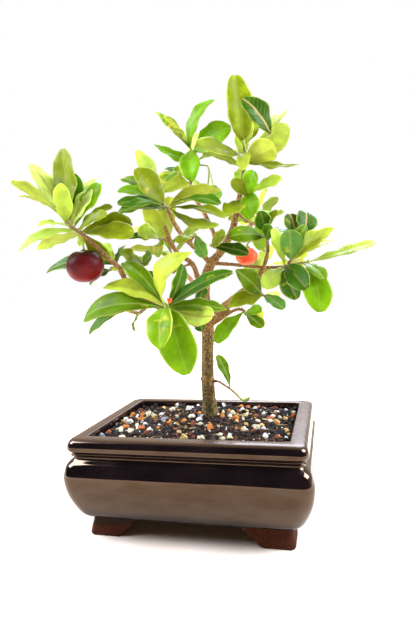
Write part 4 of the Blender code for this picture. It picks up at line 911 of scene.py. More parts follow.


# Leaf skin: waxy and half-gloss above with the midrib sunk in it, dull and pale beneath where the ribs stand
# out;
# light shines through, yellow patches and a pale margin show on some leaves; each blade is darker towards
# its foot, a painted shade
VEIN_SPACING = 3.4
faces_of_leaf = []
for skin_name, tone_name, gloss, depth in (
    ("leaf_upper_skin", "upper", 0.4, -0.25),
    ("leaf_under_skin", "under", 0.6, 0.3),
):
    skin, tree, place = new_finish(skin_name)
    tone = add(tree, "Attribute", attribute_name=tone_name, out="Color")
    blade = add(tree, "Attribute", attribute_name="blade", out="Vector")
    spread = add(tree, "SeparateXYZ", {"Vector": blade}).node.outputs
    across = add(tree, "Math", {0: spread["Y"]}, operation="ABSOLUTE")
    rib = add(tree, "MapRange", {"Value": across, "From Min": 0.85, "From Max": 0.35})
    slant = add(tree, "Math", {0: across, 1: -0.9, 2: spread["X"]}, operation="MULTIPLY_ADD")
    nerve = add(tree, "Math", {0: slant, 1: VEIN_SPACING / 2}, operation="PINGPONG")
    nerve = add(tree, "MapRange", {"Value": nerve, "From Min": 0.45, "From Max": 0.1})
    fading = add(tree, "MapRange", {"Value": spread["Z"], "From Min": 0.95, "From Max": 0.5})
    nerve = add(tree, "Math", {0: nerve, 1: fading}, operation="MULTIPLY")
    nerve = add(tree, "Math", {0: nerve, 1: 0.22}, operation="MULTIPLY")
    veins = add(tree, "Math", {0: rib, 1: nerve}, operation="MAXIMUM")
    cloud = add(tree, "TexNoise", {"Vector": place, "Scale": 1 / (9 * MM), "Detail": 3.0})
    shade = add(tree, "MapRange", {
        "Value": cloud, "From Min": 0.3, "From Max": 0.7, "To Min": 0.74, "To Max": 1.2,
    })
    # Each blade is darker towards its foot and paler to its tip: painted shade and light
    unrolled = add(tree, "Attribute", attribute_name="spread", out="Vector")
    to_tip = add(tree, "SeparateXYZ", {"Vector": unrolled}, out="X")
    painted_shade_at_foot = add(tree, "MapRange", {"Value": to_tip, "To Min": 0.8, "To Max": 1.14})
    shade = add(tree, "Math", {0: shade, 1: painted_shade_at_foot}, operation="MULTIPLY")
    flesh = add(tree, "VectorMath", {0: tone, "Scale": shade}, operation="SCALE")
    patch = add(tree, "TexNoise", {
        "Vector": place, "Scale": 1 / (6 * MM), "Detail": 1.5, "Distortion": 0.6,
    })
    amount = add(tree, "Attribute", attribute_name="patches", out="Fac")
    patch = add(tree, "Math", {0: amount, 1: 0.42, 2: patch}, operation="MULTIPLY_ADD")
    patch = add(tree, "MapRange", {"Value": patch, "From Min": 0.68, "From Max": 0.86, "To Max": 0.75})
    flesh = add(tree, "Mix", {"Factor": patch, "A": flesh, "B": colour("#d8d04a")}, data_type="RGBA")
    edge = add(tree, "Attribute", attribute_name="margin", out="Fac")
    rim = add(tree, "MapRange", {"Value": spread["Z"], "From Min": 0.84, "From Max": 0.98})
    rim = add(tree, "Math", {0: rim, 1: edge}, operation="MULTIPLY")
    flesh = add(tree, "Mix", {"Factor": rim, "A": flesh, "B": colour("#dbdc6c")}, data_type="RGBA")
    shown = add(tree, "Attribute", attribute_name="ribs", out="Fac")
    pale = add(tree, "Math", {0: veins, 1: shown}, operation="MULTIPLY")
    rib_tone = add(tree, "Attribute", attribute_name="midrib", out="Color")
    flesh = add(tree, "Mix", {"Factor": pale, "A": flesh, "B": rib_tone}, data_type="RGBA")
    cells = add(tree, "TexNoise", {"Vector": place, "Scale": 1 / (0.7 * MM), "Detail": 3.0})
    ribbed = add(tree, "Math", {0: veins, 1: depth, 2: 0.5}, operation="MULTIPLY_ADD")
    ribbed = add(tree, "Math", {0: cells, 1: 0.06, 2: ribbed}, operation="MULTIPLY_ADD")
    relief = add(tree, "Bump", {"Height": ribbed, "Distance": 0.22 * MM})
    wax = add(tree, "MapRange", {"Value": cloud, "To Min": gloss - 0.08, "To Max": gloss + 0.1})
    surface = add(tree, "BsdfPrincipled", {
        "Base Color": flesh, "Roughness": wax, "Specular IOR Level": 0.12, "Normal": relief,
    })
    glow = add(tree, "HueSaturation", {"Saturation": 1.15, "Value": 1.15, "Color": flesh})
    through_light = add(tree, "BsdfTranslucent", {"Color": glow})
    shader = add(tree, "MixShader", {"Fac": 0.35, 1: surface, 2: through_light})
    add(tree, "OutputMaterial", {"Surface": shader})
    faces_of_leaf.append(skin)

# Green shoot: smooth and soft, brown and corky at its foot, yellow-green at its growing tip
shoot, tree, place = new_finish("green_shoot")
to_tip = add(tree, "Attribute", attribute_name="grown", out="Fac")
mottle = add(tree, "TexNoise", {"Vector": place, "Scale": 1 / (1.5 * MM), "Detail": 4.0})
ripening = add(tree, "Math", {0: mottle, 1: 0.4, 2: to_tip}, operation="MULTIPLY_ADD")
green = add(tree, "ValToRGB", {"Fac": ripening}, stops=[
    (0.3, "#7a5a40"), (0.7, "#94774e"), (1.0, "#9b9a4c"), (1.3, "#a3b84e"),
])
dress(tree, green, rough=0.55, shine=0.4, relief=mottle, depth=0.15 * MM)
faces_of_leaf.append(shoot)

BUD_RADIUS = 0.7
BUD_SIDES = 8
BUD_FORM = ((-0.6, 0.5), (0.2, 1.0), (1.2, 0.75), (2.0, 0.25))  # place along it and girth, in radii
BUD_LEAN, BUD_STAND = 0.8, 0.9
SHOOT_GREEN = colour("#7fa030")


def bud(growth, place, way, radius, slot, **notes):
    """A small pointed bud in a leaf's axil."""
    route = [Vector((*(place + way * radius * shift), radius * size)) for shift, size in BUD_FORM]
    tube(growth, route, BUD_SIDES, slot, **notes)


def leafy_stem(name, stems, leaves):
    """Grows one spray as one piece: its green stems, its leaves and the buds in their axils."""
    growth = Growth("upper", "under", "midrib", "ribs", "blade", "patches", "margin", "grown")
    dice = random.Random(name)
    plain = dict.fromkeys(("upper", "under", "midrib"), SHOOT_GREEN)
    plain |= {"ribs": 0.0, "patches": 0.0, "margin": 0.0, "blade": (0.0, 0.0, 0.0)}
    for points in stems:
        route = smooth_route(points, SHOOT_STEP)
        for i, point in enumerate(route):
            point.w *= 1 + SHOOT_BEADS * math.cos(BEAD_TURN * i)
        tube(growth, route, SHOOT_SIDES, 2, **plain)
    for number, (foot, tip, width, face, arch, form, age) in enumerate(leaves):
        leaf(growth, foot, tip, width, face, arch, form, age, number, dice)
        way = ((tip - foot).normalized() + face * BUD_LEAN).normalized()
        bud(growth, foot + way * BUD_STAND, way, BUD_RADIUS, 2, **plain)
    spray = growth.grown("leaves_" + name, *faces_of_leaf)
    stands_for(spray, "leaf", "leafy_stem_" + name)


def seen_stem(name, stems, rows):
    """A spray on the near side, each leaf given one by one: stem, share of it, tip, width, turn, arch."""
    leaves = []
    for stem, share, tip, width, turn, arch, age, *form in rows:
        foot = along_stem(stems[stem], min(share, LAST_LEAF))
        tip = Vector(tip)
        axis = (tip - foot).normalized()
        front = Vector((0, -1, 0))
        front = (front - front.project(axis)).normalized()
        face = Matrix.Rotation(math.radians(turn), 3, axis) @ front
        leaves.append((foot, tip, width, face, arch, *(form or ["obovate"]), age))
    leafy_stem(name, stems, leaves)


seen_stem("left_tip", [
    [(-57.6, -45.1, 184.1, 1.3), (-62, -46, 187.5, 1.2), (-67, -46.5, 191, 1.1), (-71, -46.5, 197, 0.9)],
], [
    (0, 0.75, (-69, -45, 238), 21, -20, -0.04, "olive", "oval"),
    (0, 0.7, (-70, -30, 226), 15, 30, 0.05, "old", "oval"),
    (0, 0.72, (-61, -62, 213), 12, 10, 0.06, "young", "oval"),
    (0, 0.97, (-94.5, -40, 231.5), 12.5, 55, 0.08, "sallow", "oval"),
    (0, 1.0, (-111.5, -38, 221.4), 14, 125, 0.06, "olive", "oval"),
    (0, 0.82, (-93, -58, 209), 11, 105, 0.1, "olive", "pointed"),
    (0, 0.5, (-79, -61, 190), 8, 70, 0.1, "young"),
    (0, 0.25, (-93, -62, 175), 13, 50, 0.12, "young", "pointed"),
    (0, 0.1, (-84.5, -54, 176.5), 11, 110, 0.05, "young", "oval"),
    (0, 0.5, (-55, -38, 214), 13, -20, 0.03, "sallow", "oval"),
    (0, 0.4, (-50, -36, 217), 13, -15, 0.03, "fresh"),
    (0, 0.6, (-58, -24, 224), 10, -20, 0.05, "sallow"),
    (0, 0.25, (-42, -36, 202), 11, -35, 0.08, "olive"),
    (0, 0.2, (-39, -52, 195), 10, -40, 0.08, "olive"),
    (0, 0.15, (-32, -30, 192), 18, -35, 0.06, "olive"),
    (0, 0.08, (-25, -45, 182), 16, -45, 0.08, "olive"),
    (0, 0.28, (-64, -34, 180), 7, -60, 0.1, "sallow"),
    (0, 0.14, (-50, -29, 169.5), 11, 0, -0.04, "olive"),
])
seen_stem("left_low", [
    [(-43.5, -27.4, 162.6, 1.0), (-47, -24, 167, 0.8)],
], [
    (0, 0.9, (-45, -13, 180), 8, -30, 0.06, "old"),
    (0, 1.0, (-58, -18, 181.5), 8, 20, 0.06, "young"),
    (0, 0.2, (-62, -33, 154.5), 10, 50, 0.15, "old"),
    (0, 1.0, (-97, -26, 164), 11.5, 38, 0.14, "old", "pointed"),
])
seen_stem("limb_under", [
    [(-29.3, -27.2, 136.7, 1.1), (-31, -28, 135.5, 1.0), (-35, -29, 136, 1.0), (-39.5, -29.5, 137.5, 0.9)],
], [
    (0, 1.0, (-63, -36, 123.5), 11, 55, 0.08, "old"),
    (0, 0.15, (-31, -38, 124.5), 8, 60, 0.1, "old", "pointed"),
    (0, 0.5, (-44, -10, 141), 10, 40, 0.1, "old"),
])
seen_stem("limb_top", [
    [(-30.8, -27.7, 156.4, 1.1), (-29, -26, 161, 1.0), (-28, -25, 166, 0.8)],
], [
    (0, 1.0, (-40, -33, 174), 11, 60, 0.08, "olive"),
    (0, 0.9, (-19, -33, 171), 10, -30, 0.08, "grown"),
    (0, 0.6, (-36, -4, 172), 13, 30, 0.08, "grown"),
    (0, 0.3, (-18, -36, 156), 9, -50, 0.08, "old"),
    (0, 0.12, (-48, -33, 164.5), 9, 60, 0.08, "sallow", "pointed"),
])
seen_stem("front", [
    [(-7.7, -46.4, 137.6, 1.3), (-5, -52, 139, 1.2), (-4, -55, 141, 1.0)],
], [
    (0, 0.9, (15, -66, 169), 22, -45, 0.3, "new", "pointed"),
    (0, 0.5, (-58, -52, 135), 19, 45, 0.14, "grown"),
    (0, 0.6, (-47, -44, 154), 14, 55, 0.1, "new"),
    (0, 0.3, (-36, -38, 168), 13, 50, 0.08, "grown"),
    (0, 0.8, (-1, -78, 118.5), 16, 0, 0.15, "crumpled", "oval"),
    (0, 1.0, (10, -68, 103), 21.5, -15, 0.08, "fresh", "oval"),
    (0, 0.7, (24, -60, 134), 13, -30, -0.15, "sallow"),
    (0, 0.4, (34, -48, 158), 14, -50, 0.08, "old", "oval"),
    (0, 0.5, (29, -44, 136), 13, -55, 0.08, "grown", "pointed"),
    (0, 0.6, (3, -42, 164), 11, 60, 0.05, "old"),
])
seen_stem("upper_left", [
    [(-10.4, -23.1, 197.7, 1.3), (-13, -24, 202, 1.2), (-17, -23, 207, 1.1), (-19, -22, 211, 0.9)],
    [(-11, -23.3, 198.8, 1.1), (-8, -27, 201, 0.9)],
], [
    (0, 0.7, (-31, -20, 239), 12, 50, 0.06, "young", "oval"),
    (0, 0.3, (-27, -34, 224), 16, 40, 0.05, "olive", "oval"),
    (0, 0.6, (-44, -14, 224), 14, 50, 0.08, "grown"),
    (0, 0.4, (-41, -30, 213), 13, 55, 0.08, "fresh"),
    (0, 0.2, (-36, -44, 201), 12, 50, 0.1, "old"),
    (0, 0.1, (-41, -34, 197), 12, 60, 0.08, "grown", "pointed"),
    (0, 0.05, (-35.5, -46, 195), 12, 55, 0.2, "old", "pointed"),
    (1, 0.8, (26, -34, 207), 14, -120, 0.1, "new", "pointed"),
    (1, 0.9, (27, -46, 197), 13, -60, 0.08, "old"),
    (1, 0.5, (27, -28, 192), 11, -60, 0.06, "olive"),
    (1, 0.6, (24, -40, 185), 13, -55, -0.12, "olive"),
    (0, 1.0, (-10, -7, 226.5), 13, -20, 0.06, "mottled"),
    (0, 0.8, (-4, 1, 222), 13, 0, 0.08, "new"),
    (0, 0.5, (-38, -2, 208), 14, 40, 0.1, "old"),
])
seen_stem("top_left", [
    [(-5.6, 14, 222.1, 1.2), (-4, 14, 226, 1.2), (0, 14, 233, 1.1), (-1, 16, 240, 1.0),
     (-6, 18, 247, 0.9)],
], [
    (0, 1.0, (-29, 15, 274), 10, 50, 0.06, "mottled", "pointed"),
    (0, 1.0, (13, 16, 278), 17, -40, 0.18, "fresh", "oval"),
    (0, 0.45, (-29, 8, 250), 11, 50, -0.03, "fresh", "pointed"),
    (0, 0.95, (-1.5, 2, 221), 15, 0, 0.1, "fresh", "oval"),
    (0, 0.85, (25.5, 8, 255), 22, -22, 0.08, "fresh", "oval"),
    (0, 0.4, (-25.5, 20, 235), 9, 60, -0.03, "old"),
    (0, 0.2, (-15, 6, 230), 9, 40, 0.05, "mottled"),
    (0, 0.1, (4, 5, 218), 4, 20, 0.1, "young"),
    (0, 0.9, (-12, 44, 262), 16, 150, 0.08, "young"),
    (0, 0.6, (9, 37, 256), 14, 150, 0.08, "olive"),
])
seen_stem("top", [
    [(31.6, 14.1, 224.4, 1.4), (32, 15, 232, 1.3), (33, 15, 240, 1.1), (32, 15, 248, 0.9)],
    [(32, 15, 231, 1.1), (40, 13, 238, 1.0), (52, 10, 248.5, 0.8)],
], [
    (0, 1.0, (28, 14, 291), 19, 30, 0.05, "olive", "full"),
    (1, 1.0, (35, 0, 270), 18, 35, 0.1, "ribbed", "oval"),
    (1, 0.3, (63.5, 8, 251.5), 17, -160, 0.06, "young", "oval"),
    (0, 0.4, (55.5, -5, 236), 17, -150, 0.06, "new", "oval"),
    (0, 0.6, (35.5, -8, 221.5), 9.5, 0, 0.12, "new", "oval"),
    (0, 0.35, (69, 10, 226), 9, -52, -0.02, "olive", "pointed"),
    (0, 0.75, (30, 30, 264), 15, 10, 0.06, "new"),
    (1, 0.9, (58, 34, 270), 14, -30, 0.06, "sallow"),
    (0, 0.5, (7.5, -18, 238.5), 15, 38, 0.03, "olive"),
    (0, 0.8, (33, 44, 275), 15, 160, 0.08, "grown"),
    (1, 0.5, (46, 40, 243), 12, -150, 0.08, "grown"),
])
seen_stem("leader_right", [
    [(31.9, 10.4, 204.8, 1.1), (35, 10, 208, 1.0), (37, 11, 213, 0.9)],
], [
    (0, 0.1, (21, -4, 195.5), 14, 30, 0.1, "olive", "oval"),
    (0, 0.5, (26, 0, 219), 9, 20, 0.08, "olive"),
    (0, 0.6, (40, 2, 224), 14, -30, 0.06, "fresh"),
    (0, 0.8, (58, 8, 219), 10, -35, 0.06, "young"),
    (0, 1.0, (46, 24, 216), 9, -40, 0.05, "fresh"),
    (0, 1.0, (36.5, 0, 192.5), 14, 5, 0.08, "fresh", "oval"),
])
seen_stem("right_upper", [
    [(47.5, 2.4, 171.4, 1.2), (47, 6, 178, 1.1), (45, 9, 187, 0.9)],
], [
    (0, 0.9, (44, -2, 197.5), 11, 15, 0.1, "old", "oval"),
    (0, 1.0, (54, 12, 199), 7, -40, 0.05, "olive"),
    (0, 0.6, (25, -12, 181.5), 14, 35, 0.1, "grown"),
    (0, 0.5, (52, -8, 186), 10, -30, 0.1, "old"),
    (0, 0.8, (42, 30, 203), 14, 30, 0.08, "fresh"),
    (0, 0.6, (58, 28, 187), 14, -50, 0.08, "old"),
])
seen_stem("right", [
    [(55.9, -4.2, 160.5, 1.2), (60, -7, 161, 1.1), (64, -6, 166, 1.1), (68, -3, 172, 1.0),
     (69, -2, 176, 0.8)],
    [(59.5, -6.8, 161, 1.0), (67, -9, 162, 1.0), (74, -10, 162.5, 0.9)],
], [
    (0, 0.8, (62, 4, 195), 13, 30, 0.05, "ribbed"),
    (0, 1.0, (72, 10, 197), 15, 30, 0.12, "ribbed"),
    (0, 0.9, (73, 22, 189), 13, -50, 0.06, "fresh"),
    (0, 0.4, (63.5, -22, 182), 15, 10, 0.08, "glaucous"),
    (0, 0.5, (73, -20, 184), 10, -40, 0.06, "grown"),
    (0, 0.45, (90, -14, 182), 17, -50, 0.06, "new", "pointed"),
    (0, 0.7, (91, 6, 176), 11, -60, 0.06, "sallow", "pointed"),
    (1, 0.9, (114, -2, 173), 13, -60, 0.0, "young"),
    (1, 0.95, (80.5, -34, 133), 17, -15, 0.16, "fresh"),
    (1, 0.7, (83, -32, 151.5), 10, -50, 0.08, "grown"),
    (0, 0.25, (73, -36, 147), 14, 0, 0.1, "old"),
    (0, 0.2, (67, -35, 141.5), 13, 10, 0.1, "old"),
    (0, 0.1, (48, -26, 148), 12, 10, 0.08, "young"),
    (0, 0.15, (53, -16, 184), 9, 40, 0.04, "young"),
    (0, 0.6, (72, 34, 172), 15, -140, 0.1, "grown"),
    (0, 0.3, (64, 32, 160), 14, -130, 0.1, "new"),
])
seen_stem("right_low", [
    [(42.3, -8.3, 145.8, 1.1), (45, -9.5, 143, 0.9)],
], [
    (0, 0.9, (59, -26, 135), 9, -40, 0.08, "glaucous"),
    (0, 0.5, (30, -22, 160), 14, 30, 0.08, "grown", "pointed"),
    (0, 0.8, (24, -22, 137), 13, 40, 0.08, "olive", "pointed"),
    (0, 1.0, (54, 4, 141), 8, -140, 0.08, "sallow"),
])
seen_stem("right_under", [
    [(28.6, 2.0, 134.4, 1.1), (31, 0.8, 133.2, 1.0), (32, 0, 130.5, 0.9)],
], [
    (0, 0.8, (44, -11, 134), 8, -40, 0.08, "fresh"),
    (0, 1.0, (45, -16, 123), 9, -40, 0.08, "grown"),
    (0, 0.5, (14, -14, 114), 12.5, 30, 0.08, "fresh"),
    (0, 0.9, (40, 18, 127), 10, -140, 0.1, "new"),
])
seen_stem("middle", [
    [(0.3, -8.3, 182.2, 1.0), (3, -10, 184.5, 0.9)],
], [
    (0, 1.0, (11, -18, 169), 10, 20, 0.08, "glaucous"),
    (0, 0.5, (-5, -24, 178), 10, 40, 0.08, "olive"),
])
seen_stem("middle_left", [
    [(-17.8, -14.8, 181.6, 1.1), (-20, -17, 182, 0.9)],
], [
    (0, 0.9, (-30.5, -27, 185.5), 13, 45, 0.2, "young"),
    (0, 0.6, (-35.5, -32, 181.5), 11, 55, 0.1, "edged", "pointed"),
    (0, 0.2, (-17, -26, 169.5), 9, 20, 0.1, "mottled", "oval"),
])
seen_stem("fork", [
    [(11.8, 3.7, 176.6, 1.0), (10, 0, 177.5, 0.9)],
], [
    (0, 0.7, (24, -16, 182), 12, -30, 0.08, "olive"),
    (0, 0.9, (38, -17, 169.5), 9.5, -25, 0.04, "edged"),
])
seen_stem("trunk_middle", [
    [(5.2, 3.6, 148.2, 1.0), (7, 0, 151, 0.9)],
], [
    (0, 1.0, (11, -9, 153), 8, -40, 0.08, "fresh"),
    (0, 0.8, (3, -10, 141), 8, 20, 0.08, "old"),
])
seen_stem("trunk_low", [
    [(1.2, 3.6, 131.2, 1.0), (1, 0, 133, 0.9)],
], [
    (0, 1.0, (-3, -20, 133), 9, 30, 0.08, "young"),
    (0, 0.6, (6, -14, 122), 9, 10, 0.08, "old"),
])
seen_stem("low_twig", [
    [(9.5, 11.7, 84.4, 1.0), (16.5, 8, 81, 0.9), (21.7, 5, 78, 0.9), (27, 2, 74, 0.9), (30, 1, 74.5, 1.3),
     (32.5, 0, 76, 0.9)],
], [
    (0, 0.35, (10, 6, 104), 8, 40, 0.14, "grown"),
])
for name, (points, count, length, seed) in BACK_STEMS.items():
    leafy_stem(name, [points], rule_leaves(points, count, length, seed))

# Fruits: Barbados cherries are thin-skinned and juicy, with three faint lobes, a dimple round the
# stalk and a small scar below. One is ripe, one still orange and two are green under their calyx.
# Middle, half width, half height, slot, the skin's three tones from darkest to lightest, its roughness
GREEN_TONES = ("#4c8418", "#689c22", "#93b84a")
CHERRIES = {
    "ripe_cherry": ((-58, -45, 165.8), 11.2, 10.6, "ripe_fruit", ("#2c0408", "#4a070c", "#701111"), 0.36),
    "orange_cherry": (
        (34.4, -4.5, 168.8), 7.0, 6.0, "orange_fruit", ("#e03a20", "#ec5430", "#f58054"), 0.4,
    ),
    "green_cherry_left": ((6.5, 9, 211), 5.0, 4.6, "green_fruit", GREEN_TONES, 0.35),
    "green_cherry_right": ((14, -2, 210.5), 5.4, 5.0, "green_fruit", GREEN_TONES, 0.35),
}
LOBES, LOBE_HEIGHT = 3, 0.035
FRUIT_DIMPLE = 0.22
DIMPLE_REACH = 0.4
FURROW = 2.0  # how much farther the dimple runs to the front and the back
FRUIT_DENTS, DENT_WAVES, DENT_NOISE = 0.012, 2.2, (1.0, 2.0, 2)
LOWER_DIMPLE = 0.3  # as a share of the one at the stalk
FRUIT_MESH = (72, 48)
TONES_AT = (0.25, 0.5, 0.78)
STALKS = {
    "ripe_cherry_stalk": [[(-57.2, -46.9, 181.2, 0.7), (-57.8, -46.4, 178, 0.6), (-58, -45, 174.9, 0.7)]],
    "orange_cherry_stalk": [
        [(45.6, 0.8, 171.2, 0.6), (42, -1, 177, 0.5), (37, -3.8, 178, 0.5), (34.4, -4.5, 174.4, 0.6)],
    ],
    "green_cherry_stalks": [
        [(1.9, 13.0, 233.4, 0.6), (7, 10, 232, 0.5), (9.5, 7, 229, 0.5), (8.5, 8.5, 221, 0.5),
         (6.5, 9, 215.2, 0.7)],
        [(9.2, 7.2, 229, 0.5), (12, 2, 222, 0.5), (14, -2, 215.2, 0.7)],
    ],
}
STALK_STEP, STALK_SIDES = 1.0, 10
SEPALS = 5
SEPAL_FORM = ((0.0, 0.15, 0.55), (1.0, 0.25, 0.6), (1.9, 0.15, 0.45), (2.5, -0.1, 0.2))  # out, up, radius

for name, (middle, half_width, half_height, slot, tones, gloss) in CHERRIES.items():
    fruit = bmesh.new()
    bmesh.ops.create_uvsphere(fruit, u_segments=FRUIT_MESH[0], v_segments=FRUIT_MESH[1], radius=1.0)
    for vert in fruit.verts:
        x, y, z = vert.co
        around = math.atan2(y, x)
        level = math.hypot(x, y)
        dents = FRUIT_DENTS * noise.fractal(vert.co * DENT_WAVES + Vector(middle), *DENT_NOISE)
        lobe = 1 + LOBE_HEIGHT * math.cos(LOBES * around) * level + dents
        in_dimple = math.hypot(x, y / FURROW) / DIMPLE_REACH
        dimple = FRUIT_DIMPLE * math.exp(-in_dimple * in_dimple) * (1 if z > 0 else LOWER_DIMPLE)
        height = z * (1 - dimple)
        vert.co = (Vector(middle) + Vector((x * lobe, y * lobe, 0)) * half_width
                   + Vector((0, 0, height * half_height))) * MM
    mesh = bpy.data.meshes.new(name)
    fruit.to_mesh(mesh)
    fruit.free()
    mesh.shade_smooth()
    # Thin waxy fruit skin: deep and clear in colour and unevenly blushed, with painted shade darkening its
    # top and painted light paling it towards the bottom, with fine pale dots and a soft broad highlight
    skin, tree, place = new_finish(name + "_skin")
    blush_and_painted_light = add(tree, "TexNoise", {"Vector": place, "Scale": 1 / (half_width * MM), "Detail": 3.0})
    # Darker at the top and paler towards the bottom: painted shade and painted light
    up = add(tree, "SeparateXYZ", {"Vector": place}, out="Z")
    lower = add(tree, "MapRange", {
        "Value": up,
        "From Min": (middle[2] + half_height) * MM, "From Max": (middle[2] - half_height) * MM,
        "To Min": -0.18, "To Max": 0.22,
    })
    blush_and_painted_light = add(tree, "Math", {0: blush_and_painted_light, 1: lower}, operation="ADD")
    flesh = add(tree, "ValToRGB", {"Fac": blush_and_painted_light}, stops=list(zip(TONES_AT, tones)))
    dots = add(tree, "TexVoronoi", {"Vector": place, "Scale": 1 / (1.4 * MM)})
    dots = add(tree, "MapRange", {"Value": dots, "From Min": 0.16, "From Max": 0.08, "To Max": 0.25})
    flesh = add(tree, "Mix", {"Factor": dots, "A": flesh, "B": colour(tones[2])}, data_type="RGBA")
    bloom = add(tree, "MapRange", {"Value": blush_and_painted_light, "To Min": gloss, "To Max": gloss + 0.15})
    pores = add(tree, "TexNoise", {"Vector": place, "Scale": 1 / (0.8 * MM), "Detail": 2.0})
    dress(tree, flesh, rough=bloom, shine=0.16, relief=pores, depth=0.04 * MM)
    cherry = add_object(name + "_fruit", mesh, skin)
    stands_for(cherry, slot, name)

# Stalks: thin green stems that hang from a leaf's axil, thickened where the fruit sits, with the
# five dried or fleshy sepals of the calyx held against the fruit's shoulder.
stem_skin, tree, place = new_finish("fruit_stalk_skin")
# Smooth young stem: yellow-green going brown in spots
spot = add(tree, "TexNoise", {"Vector": place, "Scale": 1 / (1.2 * MM), "Detail": 3.0})
green = add(tree, "ValToRGB", {"Fac": spot}, stops=[(0.4, "#8fa53e"), (0.6, "#a9ae4c"), (0.75, "#8a6a3c")])
dress(tree, green, rough=0.5, relief=spot, depth=0.08 * MM)
for name, routes_of_stalk in STALKS.items():
    growth = Growth()
    for points in routes_of_stalk:
        route = smooth_route(points, STALK_STEP)
        tube(growth, route, STALK_SIDES)
        seat = route[-1].to_3d()
        for sepal in range(SEPALS):
            angle = math.tau * sepal / SEPALS + len(name)  # each calyx is turned its own way
            out = Vector((math.cos(angle), math.sin(angle), 0))
            lie = []
            for reach, rise, size in SEPAL_FORM:
                lie.append(Vector((*(seat + out * reach + Vector((0, 0, rise))), size)))
            tube(growth, lie, BUD_SIDES)
    stalk = growth.grown(name + "_with_calyx", stem_skin)
    stands_for(stalk, "stalk", name)

# A young flower bud on the front stem, still closed: three waxy petals, orange with a red
# flush, grown from the axil of the front leaves.
BUD_PLACE = (-1.5, -57, 142.5)
BUD_WAYS = ((0.1, -0.3, 1), (-0.4, -0.1, 0.9), (0.5, -0.2, 0.8))
FLOWER_BUD_RADIUS = 1.2
petals, tree, place = new_finish("closed_flower_bud")
flush = add(tree, "TexNoise", {"Vector": place, "Scale": 1 / (2 * MM), "Detail": 2.0})
tint = add(tree, "ValToRGB", {"Fac": flush}, stops=[(0.35, "#c8481c"), (0.6, "#f07a2a"), (0.8, "#f6a860")])
dress(tree, tint, rough=0.45)
growth = Growth()
for way in BUD_WAYS:
    bud(growth, Vector(BUD_PLACE), Vector(way).normalized(), FLOWER_BUD_RADIUS, 0)
flower_bud = growth.grown("orange_flower_bud", petals)
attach(flower_bud, "root")

# The stage: a sweep of matt uncoated white paper that the pot stands on. It is lit up to pure
# white away from the pot, and no part of the object.
FLOOR_SIZE = 6.0
FADE_START = 0.2
FADE_END = 0.6
paper, tree, place = new_finish("white_paper")
# Faintly warm and uneven
pulp = add(tree, "TexNoise", {"Vector": place, "Scale": 1 / (60 * MM), "Detail": 2.0})
white = add(tree, "ValToRGB", {"Fac": pulp}, stops=[(0.4, "#f0dfc8"), (0.6, "#f4e5d2")])
away = add(tree, "VectorMath", {0: place}, operation="LENGTH")
fade = add(tree, "MapRange", {"Value": away, "From Min": FADE_START, "From Max": FADE_END})
dress(tree, white, rough=0.9, shine=0.0, others={
    "Emission Color": colour("#ffffff"), "Emission Strength": fade,
})
sweep = bmesh.new()
bmesh.ops.create_grid(sweep, x_segments=1, y_segments=1, size=FLOOR_SIZE / 2)
sheet = bpy.data.meshes.new("paper_floor")
sweep.to_mesh(sheet)
sweep.free()
floor = add_object("paper_floor", sheet, paper)
floor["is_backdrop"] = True

# Light: a white room gives soft light all round, and large soft boxes shape it. What shines in
# the glaze is a darker front of the room above white paper, with a box at each side.
ROOM_LIGHT = 0.62
FRONT_LIGHT = 0.1
FRONT_GLOOM = 0.03
SOFT_BOXES = {
    # Where it stands, where it looks, its size and its power
    "soft_box_right": ((0.9, 0.0, 0.75), (0.0, 0.0, 0.15), 0.6, 29.0),
    "soft_box_left": ((-0.8, -0.25, 0.75), (0.0, 0.0, 0.15), 0.6, 30.0),
    "soft_box_back": ((0.1, 0.9, 0.8), (0.0, 0.0, 0.18), 0.7, 22.0),
}
room = bpy.data.worlds.new("white_room")
bpy.context.scene.world = room
room.use_nodes = True
tree = room.node_tree
tree.nodes.clear()
way = add(tree, "TexCoord", out="Generated")
sides = add(tree, "SeparateXYZ", {"Vector": way}).node.outputs
front = add(tree, "MapRange", {
    "Value": sides["Y"], "From Min": 0.25, "From Max": -0.25, "To Min": 1.0, "To Max": FRONT_GLOOM,
})
rays = add(tree, "LightPath").node.outputs
soft = add(tree, "MapRange", {
    "Value": sides["Y"], "From Min": 0.5, "From Max": -0.7, "To Min": ROOM_LIGHT, "To Max": FRONT_LIGHT,
})
dim = add(tree, "Mix", {"Factor": rays["Is Glossy Ray"], "A": soft, "B": front})
white = add(tree, "Mix", {"Factor": rays["Is Camera Ray"], "A": dim, "B": 1.0})
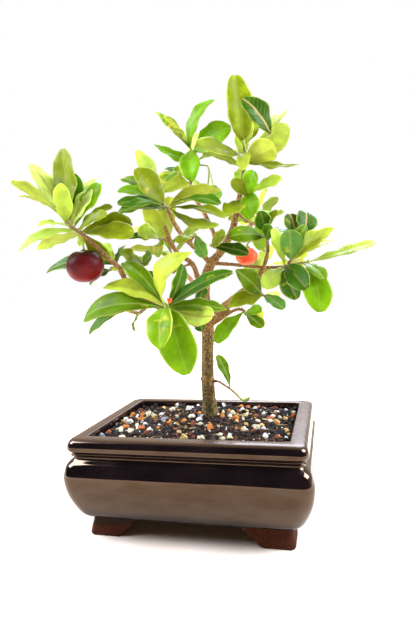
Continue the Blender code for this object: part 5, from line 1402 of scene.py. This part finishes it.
warmth = add(tree, "Mix", {
    "Factor": rays["Is Glossy Ray"], "A": colour("#ffdcb4"), "B": colour("#fff1e0"),
}, data_type="RGBA")
warmth = add(tree, "Mix", {
    "Factor": rays["Is Camera Ray"], "A": warmth, "B": colour("#ffffff"),
}, data_type="RGBA")
sky = add(tree, "Background", {"Color": warmth, "Strength": white})
add(tree, "OutputWorld", {"Surface": sky})
for name, (stand, looks_at, size, power) in SOFT_BOXES.items():
    lamp = bpy.data.lights.new(name, "AREA")
    lamp.size = size
    lamp.energy = power
    lamp.color = colour("#e2ebff")[:3]
    box = bpy.data.objects.new(name, lamp)
    bpy.context.scene.collection.objects.link(box)
    box.location = stand
    box.rotation_euler = (Vector(stand) - Vector(looks_at)).to_track_quat("Z", "Y").to_euler()

# Camera: on the photograph's side of the pot, to its right and a little above the rim, held
# level with the crown and leaning very slightly to one side.
CAMERA_PLACE = (84.4, -324.3, 149.8)
CAMERA_TURN = 13.5
CAMERA_DIP = 2.82
CAMERA_ROLL = -2.37
CAMERA_LENS = 28.9
SENSOR = 36.0
turn, dip, roll = (math.radians(a) for a in (CAMERA_TURN, CAMERA_DIP, CAMERA_ROLL))
ahead = Vector((-math.sin(turn) * math.cos(dip), math.cos(turn) * math.cos(dip), -math.sin(dip)))
right = Vector((math.cos(turn), math.sin(turn), 0))
above_view = right.cross(ahead)
rolled_right = right * math.cos(roll) + above_view * math.sin(roll)
rolled_up = above_view * math.cos(roll) - right * math.sin(roll)
lens = bpy.data.cameras.new("camera")
lens.lens = CAMERA_LENS
lens.sensor_width = SENSOR
lens.clip_start = 10 * MM
camera = bpy.data.objects.new("camera", lens)
bpy.context.scene.collection.objects.link(camera)
camera.matrix_world = (
    Matrix.Translation(Vector(CAMERA_PLACE) * MM)
    @ Matrix((rolled_right, rolled_up, -ahead)).transposed().to_4x4()
)
bpy.context.scene.camera = camera
bpy.context.scene.view_settings.view_transform = "Standard"

low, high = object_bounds()
sizes = {"cad": [list(cad_low), list(cad_high)], "visual": [list(low), list(high)]}
